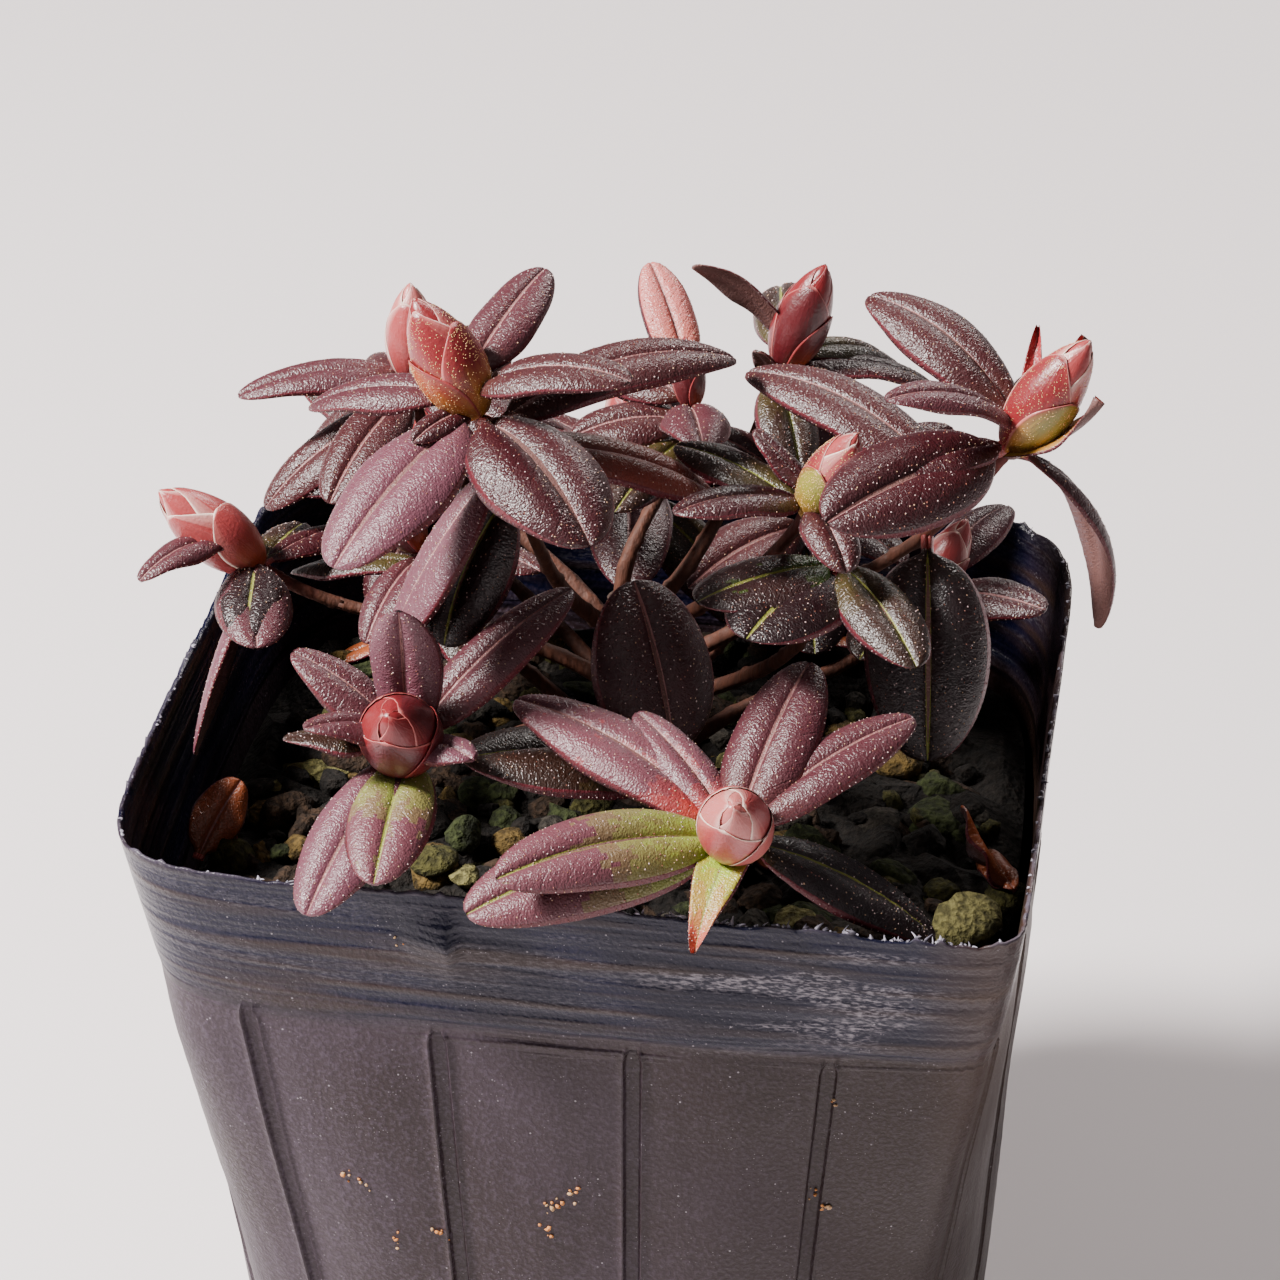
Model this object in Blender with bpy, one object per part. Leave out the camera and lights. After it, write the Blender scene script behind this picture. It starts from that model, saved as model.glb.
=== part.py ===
"""Dwarf rhododendron in a squashed film nursery pot, built as closed solids.

Frame: metres, +Z up, -Y is the front of the pot, origin on the flat underside at
the centre of the pot.  Sizes below are in millimetres and angles in degrees.
A turn is measured in the level plane from +X towards +Y; a rise is measured up
from level.  Every limb and leaf is worked out from these sizes by one rule.
"""
import math
import random

import bmesh
import bpy
import numpy as np

MM = 0.001
GAP = 0.3
LIMB_GAP = 0.42

# Pot
POT_HEIGHT = 76.0
POT_WALL = 0.8
POT_FLOOR = 1.3
POT_BASE_RADIUS = 33.0
POT_COLUMNS = 96
POT_RIBS = 16
WALL_HEIGHTS = (15.0, 30.0, 45.0)
RIB_HEIGHT = 0.8
RIB_LOW = 5.0
RIB_TOP = 60.0
RIB_RUN = 1.5
BASE_EDGE = 0.8
FOOT_LOBES = 8
FOOT_SCALLOP = 0.25
RIM_START_TURN = -78.5
RIM_WAVE = 0.45
RIM_SEED = 11
POT_SIDES = (
    (-90.0, 38.4),
    (2.5, 39.2),
    (90.0, 38.4),
    (180.0, 39.4),
)
POT_CORNERS = (
    (-43.0, 26.0),
    (45.0, 6.0),
    (135.0, 6.0),
    (225.0, 9.0),
)
HOLE_RADIUS = 3.2
HOLE_RING = 17.0
HOLE_COUNT = 4
HOLE_SIDES = 16
HOLE_TURN = 45.0
CUTTER_HALF = 3.0

# Grit
GRIT_TOP = 61.6
GRIT_BUMP = 1.5
GRIT_GAP = 0.5
GRIT_STEP = 2
GRIT_COLUMNS = POT_COLUMNS // GRIT_STEP
GRIT_RINGS = (0.94, 0.84, 0.73, 0.61, 0.48, 0.35, 0.22)
GRIT_SEED = 5
SEAT_HEIGHT = 62.5
SEAT_RADIUS = 4.8

# Trunk
TRUNK_FOOT = SEAT_HEIGHT + GAP
TRUNK_TOP = 84.0
TRUNK_FOOT_AT = (2.0, 4.0)
TRUNK_TOP_AT = (0.0, 1.0)
TRUNK_SWAY = 0.7
TRUNK_RADIUS = 2.5
TRUNK_TIP_RADIUS = 1.3
FLARE = 1.1
FLARE_HEIGHT = 1.6
TRUNK_SIDES = 10
TRUNK_RINGS = 9
TRUNK_SPACING = 1.4

# Boughs and shoot stems
BOUGH_RADIUS = 1.05
STEM_RADIUS = 0.75
LEAVING_RISE = 40.0
HANDLE = 0.38
PATH_STEPS = 81
LIMB_SIDES = 8
BOUGH_RINGS = 7
STEM_RINGS = 4
STEM_IN_BUD = 0.7

# Leaves and buds
LEAF_THICK = 0.5
LEAF_STATIONS = (0.07, 0.18, 0.34, 0.54, 0.74, 0.9, 0.97)
BLUNTNESS = 0.58
WIDE_PLACE = 0.9
LEAF_ARCH = 0.1
PETIOLE = 0.55
PETIOLE_PART = 0.1
BUD_SIDES = 8
BUD_RINGS = (0.08, 0.25, 0.45, 0.65, 0.85)
BUD_SINK = 1.2
BUD_LOW = 0.85
BUD_BLUNTNESS = 0.75

# Colours
FILM_COLOUR = (0.04, 0.04, 0.055)
GRIT_COLOUR = (0.24, 0.2, 0.11)
BARK_COLOUR = (0.3, 0.13, 0.07)
LEAF_COLOUR = (0.09, 0.03, 0.035)

# Growing rule
GOLDEN_TURN = 137.5
LEAF_STEP = 0.55
RISE_STEP = 4.0
ROOM = 1.8
ROOM_SAMPLES = 11
LIMB_SAMPLES = 40
CROWN_RADIUS = 50.0
CROWN_TOP = 124.0
CROWN_LOW = 66.0
RIM_ROOM = 2.5

# Each shoot: place of its whorl, bud axis (turn, rise), bud (length, width),
# height on the trunk, leaving turn, length of its own stem
SHOOTS = {
    "middle_top": ((4.6, 10, 100), (150, 84), (6.0, 3.6), 84, None, 10),
    "left_top": ((-9.5, -18, 112.5), (180, 63), (11.0, 7.0), 82, -120, 14),
    "right_front": ((19, -13.5, 103), (-35, 60), (10.5, 6.2), 81, -50, 10),
    "back_top": ((12.4, 15, 102), (0, 70), (10.5, 6.5), 82, 35, 10),
    "left_back": ((-21, 11, 100), (100, 85), (8.5, 5.6), 80, 150, 10),
    "right_top": ((36, -11, 109.5), (0, 59), (12.0, 7.6), 77, -12, 18),
    "left_low": ((-33, -3, 87), (-165, 43), (11.0, 6.8), 74.5, 192, 9),
    "rear": ((-4, 28, 84), (95, 70), (9.0, 6.0), 76, 95, 9),
    "middle": ((21.5, -13.5, 97.5), (0, 75), (1.6, 1.9), 73, -30, 5),
    "front_left": ((-13, -31, 86), (-92, 47), (9.5, 7.2), 71, -118, 8),
    "front": ((16, -35, 82.5), (-83, 47), (9.5, 7.6), 71, -68, 7),
    "middle_low": ((8.5, -21, 80), (-75, 50), (2.2, 2.0), 67, -90, 6),
    "rear_left": ((-22, 24, 84), (135, 60), (9.0, 6.0), 70, 140, 9),
    "rear_right": ((14, 27, 81), (65, 62), (9.0, 6.0), 70, 60, 9),
    "right_rear": ((26, 17, 79), (35, 60), (7.0, 4.8), 67, 20, 8),
    "left_middle": ((-19, 1, 88), (175, 60), (6.5, 4.6), 66.5, 170, 8),
}

# Leaves that can be read one by one: place up the stem, turn, rise, length,
# width, bend over the length, roll
LEAVES = {
    "left_top": (
        (0.5, 175, 15, 15.0, 6.5, 50, 0),
        (-0.5, -120, -5, 20.0, 9.5, 35, 0),
        (-6.0, -160, -50, 20.5, 9.5, 20, 0),
        (-1.5, -46, 12, 18.0, 11.5, 55, 0),
        (1.0, -10, 45, 16.0, 7.0, 60, 0),
        (-3.0, 35, 35, 24.5, 8.0, 60, 0),
        (2.0, 70, 35, 15.0, 6.0, 30, 0),
        (-9.0, -140, -48, 15.5, 8.0, 30, -30),
        (-5.0, 25, 0, 21.0, 8.0, 40, 0),
    ),
    "left_back": (
        (-3.0, -150, -10, 17.0, 7.0, 40, 0),
        (-3.0, 175, -35, 14.0, 6.0, 30, 0),
    ),
    "left_low": (
        (0.0, -75, 0, 12.5, 7.0, 20, 0),
        (-1.0, -100, -15, 19.5, 6.0, 40, 75),
        (2.0, -125, 40, 12.0, 4.0, 70, 0),
        (-1.0, 80, 5, 10.0, 5.0, 20, 0),
    ),
    "front_left": (
        (0.0, -95, 96, 14.5, 6.5, 25, 0),
        (0.0, 170, 55, 13.0, 6.5, 40, 0),
        (0.5, -140, 50, 11.0, 5.0, 50, 0),
        (0.0, 45, 45, 20.0, 7.0, 30, 0),
        (-0.5, -110, -10, 18.5, 8.0, 30, 0),
        (-1.0, -90, 0, 16.0, 7.5, 30, 0),
        (1.0, -30, 30, 8.0, 5.0, 40, 0),
    ),
    "front": (
        (0.0, 75, 45, 18.0, 8.0, 30, 0),
        (0.0, 40, 35, 19.0, 7.0, 30, 0),
        (0.0, 135, 35, 15.5, 5.0, 30, 0),
        (-1.0, 155, 35, 24.0, 8.5, 40, 0),
        (-1.0, -145, 20, 22.5, 7.0, 30, 0),
        (-1.5, -150, 10, 24.5, 8.0, 30, 0),
        (0.0, -100, 10, 9.5, 3.0, 70, 0),
        (-1.0, 10, -15, 20.0, 9.0, 30, 0),
    ),
    "right_front": (
        (0.0, -145, 30, 13.5, 5.5, 40, 0),
        (1.0, 160, 50, 8.0, 3.0, 20, 0),
        (0.0, -60, 15, 9.0, 5.0, 60, 0),
        (-1.0, 155, 25, 14.0, 5.5, 30, 0),
    ),
    "right_top": (
        (1.0, 150, 55, 19.0, 8.0, 60, 0),
        (1.0, -145, 55, 15.0, 5.5, 60, 0),
        (-1.0, -135, 12, 19.5, 9.5, 30, -30),
        (-1.0, 30, -25, 23.0, 6.0, 80, 0),
        (2.0, 90, 50, 9.0, 2.5, 10, 0),
        (2.0, 45, 55, 9.0, 3.0, 10, 0),
        (0.0, -15, 20, 9.0, 4.0, -40, 0),
        (-8.0, 155, 45, 24.0, 8.0, 60, 0),
        (-13.0, -80, -45, 20.0, 11.0, 30, 0),
    ),
    "back_top": (
        (1.0, -165, 75, 13.0, 4.0, 60, 60),
        (0.0, 40, 10, 14.0, 5.0, 60, 0),
        (-2.4, -115, 68, 9.0, 3.2, 25, 0),
    ),
    "middle_top": (
        (2.0, 120, 45, 12.0, 5.0, 20, 0),
    ),
    "middle": (
        (0.0, -142, 10, 14.0, 9.0, 20, 0),
        (-1.0, -115, 15, 14.0, 10.0, 30, 0),
        (0.0, -55, 5, 15.0, 7.0, 30, 0),
    ),
    "middle_low": (
        (0.0, 125, 75, 17.0, 11.5, 30, 0),
        (0.0, -152, 26, 20.0, 12.0, 25, 0),
    ),
}

# Leaves grown by the seeded rule: how many, first turn, rise, length, width, seed
RULE = {
    "middle_top": (8, 10, 30, 13.0, 6.0, 3),
    "left_top": (2, 95, 25, 15.0, 6.0, 4),
    "right_front": (2, 60, 20, 13.0, 6.0, 6),
    "back_top": (9, 100, 24, 15.0, 6.5, 8),
    "left_back": (7, 60, 20, 15.0, 6.5, 9),
    "left_middle": (8, 200, 24, 13.0, 6.5, 21),
    "right_top": (2, 80, 15, 14.0, 6.0, 10),
    "left_low": (3, 140, 20, 13.0, 5.5, 12),
    "rear": (9, 90, 26, 17.0, 7.5, 13),
    "front_left": (1, -170, 10, 13.0, 6.0, 15),
    "rear_left": (9, 150, 28, 16.0, 7.5, 18),
    "rear_right": (9, 40, 30, 15.0, 7.5, 19),
    "right_rear": (7, 60, 36, 12.0, 6.0, 20),
}


def clear_scene():
    """Remove every object that the new file starts with."""
    for item in list(bpy.data.objects):
        bpy.data.objects.remove(item, do_unlink=True)


def material(name, colour, roughness):
    """One plain coated material."""
    made = bpy.data.materials.new(name)
    made.use_nodes = True
    shader = made.node_tree.nodes["Principled BSDF"]
    shader.inputs["Base Color"].default_value = (*colour, 1.0)
    shader.inputs["Roughness"].default_value = roughness
    return made


def film_material():
    """Black poly film of the pot."""
    return material("pot_film", FILM_COLOUR, 0.45)


def grit_material():
    """Coarse mineral grit."""
    return material("grit_stone", GRIT_COLOUR, 0.9)


def bark_material(limb):
    """Brown bark of the trunk or of one bough."""
    return material("bark_of_" + limb, BARK_COLOUR, 0.7)


def leaf_material(shoot):
    """Dark maroon winter leaves of one mass."""
    return material("leaves_of_" + shoot, LEAF_COLOUR, 0.45)


def add_object(name, points, faces, paint, smooth):
    """Mesh object from points in millimetres."""
    mesh = bpy.data.meshes.new(name)
    mesh.from_pydata((np.asarray(points) * MM).tolist(), [], faces)
    mesh.update()
    shape = bmesh.new()
    shape.from_mesh(mesh)
    bmesh.ops.recalc_face_normals(shape, faces=shape.faces[:])
    shape.to_mesh(mesh)
    shape.free()
    for face in mesh.polygons:
        face.use_smooth = smooth
    made = bpy.data.objects.new(name, mesh)
    made.data.materials.append(paint)
    bpy.context.scene.collection.objects.link(made)
    return made


def direction(turn, rise):
    """Unit vector of a turn and a rise."""
    turn = math.radians(turn)
    rise = math.radians(rise)
    return np.array([math.cos(turn) * math.cos(rise), math.sin(turn) * math.cos(rise), math.sin(rise)])


def ring_faces(rings, columns):
    """Quads between closed rings of equal size."""
    faces = []
    for ring in range(rings - 1):
        for column in range(columns):
            after = (column + 1) % columns
            low = ring * columns
            high = low + columns
            faces.append((low + column, low + after, high + after, high + column))
    return faces


def tube(points, radii, sides):
    """Closed tube round a path, flat at both ends."""
    points = np.asarray(points, float)
    along = np.gradient(points, axis=0)
    along /= np.linalg.norm(along, axis=1)[:, None]
    across = np.eye(3)[np.argmin(np.abs(points[-1] - points[0]))]
    side = np.cross(along, across)
    side /= np.linalg.norm(side, axis=1)[:, None]
    other = np.cross(along, side)
    angle = np.linspace(0.0, 2.0 * math.pi, sides, endpoint=False)
    away = np.cos(angle)[None, :, None] * side[:, None, :]
    away = away + np.sin(angle)[None, :, None] * other[:, None, :]
    body = points[:, None, :] + np.asarray(radii)[:, None, None] * away
    faces = ring_faces(len(points), sides)
    faces.append(tuple(range(sides))[::-1])
    last = (len(points) - 1) * sides
    faces.append(tuple(range(last, last + sides)))
    return body.reshape(-1, 3), faces


# Pot
def top_outline():
    """Rounded square of the rim by perimeter, from four sides and four corner powers."""
    turn = np.radians(RIM_START_TURN) + np.linspace(0.0, 2.0 * math.pi, 2881)
    corner_turns = np.radians([corner[0] for corner in POT_CORNERS])
    power = np.zeros_like(turn)
    weight = np.zeros_like(turn)
    for corner_turn, corner_power in zip(corner_turns, [corner[1] for corner in POT_CORNERS]):
        near = np.maximum(np.cos(turn - corner_turn), 0.0) ** 2 + 0.001
        power += near * corner_power
        weight += near
    power /= weight
    total = np.zeros_like(turn)
    for side_turn, side_distance in POT_SIDES:
        facing = np.maximum(np.cos(turn - math.radians(side_turn)), 0.0)
        total += (facing / side_distance) ** power
    reach = total ** (-1.0 / power)
    return np.stack([reach * np.cos(turn), reach * np.sin(turn)], axis=1)


def by_perimeter(outline, columns):
    """Evenly spaced points round a closed outline."""
    steps = np.linalg.norm(np.diff(outline, axis=0), axis=1)
    run = np.concatenate([[0.0], np.cumsum(steps)])
    wanted = np.linspace(0.0, run[-1], columns, endpoint=False)
    return np.stack([np.interp(wanted, run, outline[:, 0]), np.interp(wanted, run, outline[:, 1])], axis=1)


def pot_section(height, inset):
    """Outline of the pot at one height, moved in by a distance: a round base ruled to a square rim."""
    top = by_perimeter(top_outline(), POT_COLUMNS)
    tangent = np.roll(top, -1, axis=0) - np.roll(top, 1, axis=0)
    facing = np.stack([tangent[:, 1], -tangent[:, 0]], axis=1)
    facing /= np.linalg.norm(facing, axis=1)[:, None]
    turn = math.radians(RIM_START_TURN) + np.linspace(0.0, 2.0 * math.pi, POT_COLUMNS, endpoint=False)
    away = np.stack([np.cos(turn), np.sin(turn)], axis=1)
    part = height / POT_HEIGHT
    line = away * (POT_BASE_RADIUS - inset) * (1.0 - part) + (top - facing * inset) * part
    return line, away * (1.0 - part) + facing * part


def pot_ring(height, inset, rib, lift):
    """One ring of pot points, with the ribs raised by a height."""
    line, normal = pot_section(height, inset)
    step = POT_COLUMNS // POT_RIBS
    raised = np.zeros(POT_COLUMNS)
    raised[::step] = rib
    line = line + normal * raised[:, None]
    return np.column_stack([line, height + lift])


def foot_ring():
    """Edge of the flat underside: straight between a few lobes, and slightly hollowed."""
    step = 2.0 * math.pi / FOOT_LOBES
    turn = np.linspace(0.0, 2.0 * math.pi, POT_COLUMNS, endpoint=False)
    across = turn % step - step / 2.0
    reach = (POT_BASE_RADIUS - BASE_EDGE) * math.cos(step / 2.0) / np.cos(across)
    reach -= FOOT_SCALLOP * np.sin(math.pi * (turn % step) / step)
    turn = turn + math.radians(RIM_START_TURN)
    return np.stack([reach * np.cos(turn), reach * np.sin(turn), np.zeros(POT_COLUMNS)], axis=1)


def rim_lift():
    """Uneven torn rim, as a seeded height for each column."""
    chance = random.Random(RIM_SEED)
    rough = np.array([chance.uniform(-1.0, 1.0) for _ in range(POT_COLUMNS)])
    return RIM_WAVE * (rough + np.roll(rough, 1)) / 2.0


def build_pot(paint):
    """Thin squashed pot: outer wall with ribs, torn rim, inner wall and floor."""
    level = np.zeros(POT_COLUMNS)
    rim = rim_lift()
    rings = [
        foot_ring(),
        pot_ring(BASE_EDGE, BASE_EDGE / 4.0, 0.0, level),
        pot_ring(RIB_LOW, 0.0, 0.0, level),
        pot_ring(RIB_LOW + RIB_RUN, 0.0, RIB_HEIGHT, level),
        *[pot_ring(height, 0.0, RIB_HEIGHT, level) for height in WALL_HEIGHTS],
        pot_ring(RIB_TOP - RIB_RUN, 0.0, RIB_HEIGHT, level),
        pot_ring(RIB_TOP, 0.0, 0.0, level),
        pot_ring(POT_HEIGHT, 0.0, 0.0, rim),
        pot_ring(POT_HEIGHT, POT_WALL, 0.0, rim),
        pot_ring(GRIT_TOP - GRIT_BUMP, POT_WALL, 0.0, level),
        *[pot_ring(height, POT_WALL, 0.0, level) for height in WALL_HEIGHTS[::-1]],
        pot_ring(POT_FLOOR, POT_WALL, 0.0, level),
    ]
    points = np.concatenate(rings)
    faces = ring_faces(len(rings), POT_COLUMNS)
    faces.append(tuple(range(POT_COLUMNS))[::-1])
    last = (len(rings) - 1) * POT_COLUMNS
    faces.append(tuple(range(last, last + POT_COLUMNS)))
    pot = add_object("pot", points, faces, paint, True)
    cut_holes(pot)
    return pot


def cut_holes(pot):
    """Round drain holes through the floor, applied and the cutters removed."""
    cutters = bpy.data.collections.new("drain_cutters")
    bpy.context.scene.collection.children.link(cutters)
    for number in range(HOLE_COUNT):
        turn = HOLE_TURN + 360.0 * number / HOLE_COUNT
        centre = direction(turn, 0.0) * HOLE_RING
        path = [centre - (0.0, 0.0, CUTTER_HALF), centre + (0.0, 0.0, CUTTER_HALF)]
        points, faces = tube(path, (HOLE_RADIUS, HOLE_RADIUS), HOLE_SIDES)
        cutter = add_object("drain_%d" % number, points, faces, pot.data.materials[0], False)
        bpy.context.scene.collection.objects.unlink(cutter)
        cutters.objects.link(cutter)
    apply_boolean(pot, cutters, "DIFFERENCE")


def apply_boolean(target, group, operation):
    """Join or cut a whole collection at once, then remove the collection's objects."""
    work = target.modifiers.new("join", "BOOLEAN")
    work.operation = operation
    work.operand_type = "COLLECTION"
    work.collection = group
    work.solver = "EXACT"
    bpy.context.view_layer.update()
    graph = bpy.context.evaluated_depsgraph_get()
    made = bpy.data.meshes.new_from_object(target.evaluated_get(graph))
    target.modifiers.clear()
    target.data = made
    for item in list(group.objects):
        bpy.data.objects.remove(item, do_unlink=True)
    bpy.data.collections.remove(group)


# Grit
def build_grit(paint):
    """Grit that fills the pot: smooth sides, bumpy top and a flat seat for the trunk."""
    chance = random.Random(GRIT_SEED)
    inset = POT_WALL + GRIT_GAP
    rings = []
    for height in (POT_FLOOR + GAP, *WALL_HEIGHTS, GRIT_TOP - GRIT_BUMP):
        line = pot_section(height, inset)[0][::GRIT_STEP]
        rings.append(np.column_stack([line, np.full(GRIT_COLUMNS, height)]))
    edge = pot_section(GRIT_TOP - GRIT_BUMP, inset)[0][::GRIT_STEP]
    for scale in GRIT_RINGS:
        bump = np.array([chance.uniform(-1.0, 1.0) for _ in range(GRIT_COLUMNS)]) * GRIT_BUMP
        line = edge * scale + np.array(TRUNK_FOOT_AT) * (1.0 - scale)
        rings.append(np.column_stack([line, GRIT_TOP + bump]))
    turn = np.linspace(0.0, 2.0 * math.pi, GRIT_COLUMNS, endpoint=False) + math.radians(RIM_START_TURN)
    seat = np.stack([np.cos(turn), np.sin(turn)], axis=1) * SEAT_RADIUS + TRUNK_FOOT_AT
    rings.append(np.column_stack([seat, np.full(GRIT_COLUMNS, SEAT_HEIGHT)]))
    points = np.concatenate(rings)
    faces = ring_faces(len(rings), GRIT_COLUMNS)
    faces.append(tuple(range(GRIT_COLUMNS))[::-1])
    last = (len(rings) - 1) * GRIT_COLUMNS
    faces.append(tuple(range(last, last + GRIT_COLUMNS)))
    return add_object("grit", points, faces, paint, False)


# Trunk and limb paths
def trunk_axis(height):
    """Centre of the trunk at a height: a leaning line with a slight sway."""
    part = (np.asarray(height, float) - TRUNK_FOOT) / (TRUNK_TOP - TRUNK_FOOT)
    across = TRUNK_FOOT_AT[0] + (TRUNK_TOP_AT[0] - TRUNK_FOOT_AT[0]) * part
    deep = TRUNK_FOOT_AT[1] + (TRUNK_TOP_AT[1] - TRUNK_FOOT_AT[1]) * part
    sway = TRUNK_SWAY * np.sin(math.pi * part)
    return np.stack([across + sway, deep, np.asarray(height, float)], axis=-1)


def trunk_radius(height):
    """Straight taper plus a root flare that dies away upwards."""
    height = np.asarray(height, float)
    part = (height - TRUNK_FOOT) / (TRUNK_TOP - TRUNK_FOOT)
    flare = FLARE * np.exp(-(height - TRUNK_FOOT) / FLARE_HEIGHT)
    return TRUNK_RADIUS + (TRUNK_TIP_RADIUS - TRUNK_RADIUS) * part + flare


def build_trunk(paint):
    """Short trunk from its flat cut on the seat to the highest fork."""
    part = np.linspace(0.0, 1.0, TRUNK_RINGS) ** TRUNK_SPACING
    heights = TRUNK_FOOT + (TRUNK_TOP - TRUNK_FOOT) * part
    axis = trunk_axis(heights)
    points, faces = tube(axis, trunk_radius(heights), TRUNK_SIDES)
    points[:TRUNK_SIDES, 2] = TRUNK_FOOT
    points[-TRUNK_SIDES:, 2] = TRUNK_TOP
    return add_object("trunk", points, faces, paint, True)


def shoot_path(shoot):
    """Whole path of a limb: a cubic curve from beside the trunk to the whorl."""
    whorl, axis, _, height, turn, _ = SHOOTS[shoot]
    end = np.array(whorl, float)
    arrive = direction(*axis)
    if turn is None:
        start = trunk_axis(height) + (0.0, 0.0, LIMB_GAP)
        leave = np.array([0.0, 0.0, 1.0])
    else:
        beside = trunk_radius(height) + GAP + BOUGH_RADIUS * math.sin(math.radians(LEAVING_RISE))
        start = trunk_axis(height) + direction(turn, 0.0) * beside
        leave = direction(turn, LEAVING_RISE)
    reach = np.linalg.norm(end - start) * HANDLE
    part = np.linspace(0.0, 1.0, PATH_STEPS)[:, None]
    keep = 1.0 - part
    first = start * keep ** 3 + 3.0 * (start + leave * reach) * keep ** 2 * part
    return first + 3.0 * (end - arrive * reach) * keep * part ** 2 + end * part ** 3


def part_of_path(path, begin, finish, count):
    """Even points on a path between two distances from its start."""
    steps = np.linalg.norm(np.diff(path, axis=0), axis=1)
    run = np.concatenate([[0.0], np.cumsum(steps)])
    wanted = np.linspace(begin, finish, count)
    return np.stack([np.interp(wanted, run, path[:, axis]) for axis in range(3)], axis=1)


def path_length(path):
    """Length of a path."""
    return float(np.linalg.norm(np.diff(path, axis=0), axis=1).sum())


def bough_end(shoot):
    """Distance along the limb where the bough stops and the shoot's stem begins."""
    return path_length(shoot_path(shoot)) - SHOOTS[shoot][5]


def build_bough(shoot, paint):
    """One tapering bough, from beside the trunk to the foot of its mass."""
    path = shoot_path(shoot)
    finish = bough_end(shoot)
    points = part_of_path(path, 0.0, finish, BOUGH_RINGS)
    radii = np.linspace(BOUGH_RADIUS, STEM_RADIUS, BOUGH_RINGS)
    body, faces = tube(points, radii, LIMB_SIDES)
    return add_object("bough_" + shoot, body, faces, paint, True)


# Leaves
def leaf_midrib(base, turn, rise, length, bend, part):
    """Arc whose slope falls evenly from the rise by the bend over the length."""
    part = np.asarray(part, float)
    start = math.radians(rise)
    fall = math.radians(bend) if abs(bend) > 0.5 else math.radians(0.5)
    slope = start - fall * part
    level = length * (math.sin(start) - np.sin(slope)) / fall
    up = length * (np.cos(slope) - math.cos(start)) / fall
    facing = direction(turn, 0.0)
    return base + level[:, None] * facing + up[:, None] * np.array([0.0, 0.0, 1.0]), slope


def leaf_frame(turn, slope, roll):
    """Sideways and upward vectors of the blade at each slope."""
    facing = direction(turn, 0.0)
    across = np.array([-facing[1], facing[0], 0.0])
    upward = -np.sin(slope)[:, None] * facing + np.cos(slope)[:, None] * np.array([0.0, 0.0, 1.0])
    roll = math.radians(roll)
    side = math.cos(roll) * across + math.sin(roll) * upward
    lift = math.cos(roll) * upward - math.sin(roll) * across
    return side, lift


def leaf_half_width(part, width):
    """Half width along the blade: a stalk, then a blunt ellipse."""
    blade = np.clip((np.asarray(part, float) - PETIOLE_PART) / (1.0 - PETIOLE_PART), 0.0, 1.0)
    ellipse = np.sin(math.pi * blade ** WIDE_PLACE) ** BLUNTNESS
    return np.maximum(width / 2.0 * ellipse, PETIOLE * (1.0 - blade))


def leaf_rows(shoot):
    """All leaves of a shoot: the ones read one by one, then the rule's."""
    rows = [(row, True) for row in LEAVES.get(shoot, ())]
    if shoot in RULE:
        count, first, rise, length, width, seed = RULE[shoot]
        chance = random.Random(seed)
        for number in range(count):
            turn = first + GOLDEN_TURN * number
            lower = -LEAF_STEP * number
            row = (
                lower,
                turn % 360.0,
                rise - RISE_STEP * number + chance.uniform(-8.0, 8.0),
                length * chance.uniform(0.82, 1.1),
                width * chance.uniform(0.85, 1.1),
                chance.uniform(20.0, 55.0),
                chance.uniform(-15.0, 15.0),
            )
            rows.append((row, False))
    return rows


def leaf_base(shoot, up):
    """Point on the stem's centre line, a distance above or below the whorl."""
    path = shoot_path(shoot)
    if up >= 0.0:
        return path[-1] + direction(*SHOOTS[shoot][1]) * up
    length = path_length(path)
    return part_of_path(path, length + up, length + up, 1)[0]


def leaf_samples(base, row):
    """Points over the blade, used to keep leaves apart."""
    _, turn, rise, length, width, bend, roll = row
    part = np.linspace(0.25, 1.0, ROOM_SAMPLES)
    midrib, slope = leaf_midrib(base, turn, rise, length, bend, part)
    side, _ = leaf_frame(turn, slope, roll)
    half = leaf_half_width(part, width)[:, None]
    return np.concatenate([midrib + side * half * share for share in (-1.0, -0.5, 0.0, 0.5, 1.0)])


def limb_samples():
    """Points along every limb, by shoot."""
    found = {}
    for shoot in SHOOTS:
        path = shoot_path(shoot)
        found[shoot] = part_of_path(path, 0.0, path_length(path), LIMB_SAMPLES)
    return found


def inside_crown(points):
    """True when no point leaves the crown's room or comes near the pot's wall."""
    reach = np.linalg.norm(points[:, :2], axis=1)
    low = points[:, 2] < POT_HEIGHT + RIM_ROOM
    if low.any() and reach[low].max() > POT_BASE_RADIUS:
        return False
    return reach.max() < CROWN_RADIUS and points[:, 2].min() > CROWN_LOW and points[:, 2].max() < CROWN_TOP


def grow():
    """Leaves by shoot; a leaf of the rule that meets another or leaves the crown is skipped."""
    taken = {shoot: [] for shoot in SHOOTS}
    grown = {shoot: [] for shoot in SHOOTS}
    limbs = limb_samples()
    for named in (True, False):
        for shoot in SHOOTS:
            for row, is_named in leaf_rows(shoot):
                if is_named != named:
                    continue
                base = leaf_base(shoot, row[0])
                points = leaf_samples(base, row)
                if not named and not has_room(shoot, points, taken, limbs):
                    continue
                taken[shoot].append(points)
                grown[shoot].append((base, row))
    return grown


def has_room(shoot, points, taken, limbs):
    """Room test for one leaf of the rule."""
    if not inside_crown(points):
        return False
    others = [name for name in SHOOTS if name != shoot]
    crowd = [limbs[name] for name in others]
    crowd += [leaf for name in others for leaf in taken[name]]
    crowd = np.concatenate(crowd)
    gaps = np.linalg.norm(points[:, None, :] - crowd[None, :, :], axis=2)
    return gaps.min() > ROOM


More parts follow.
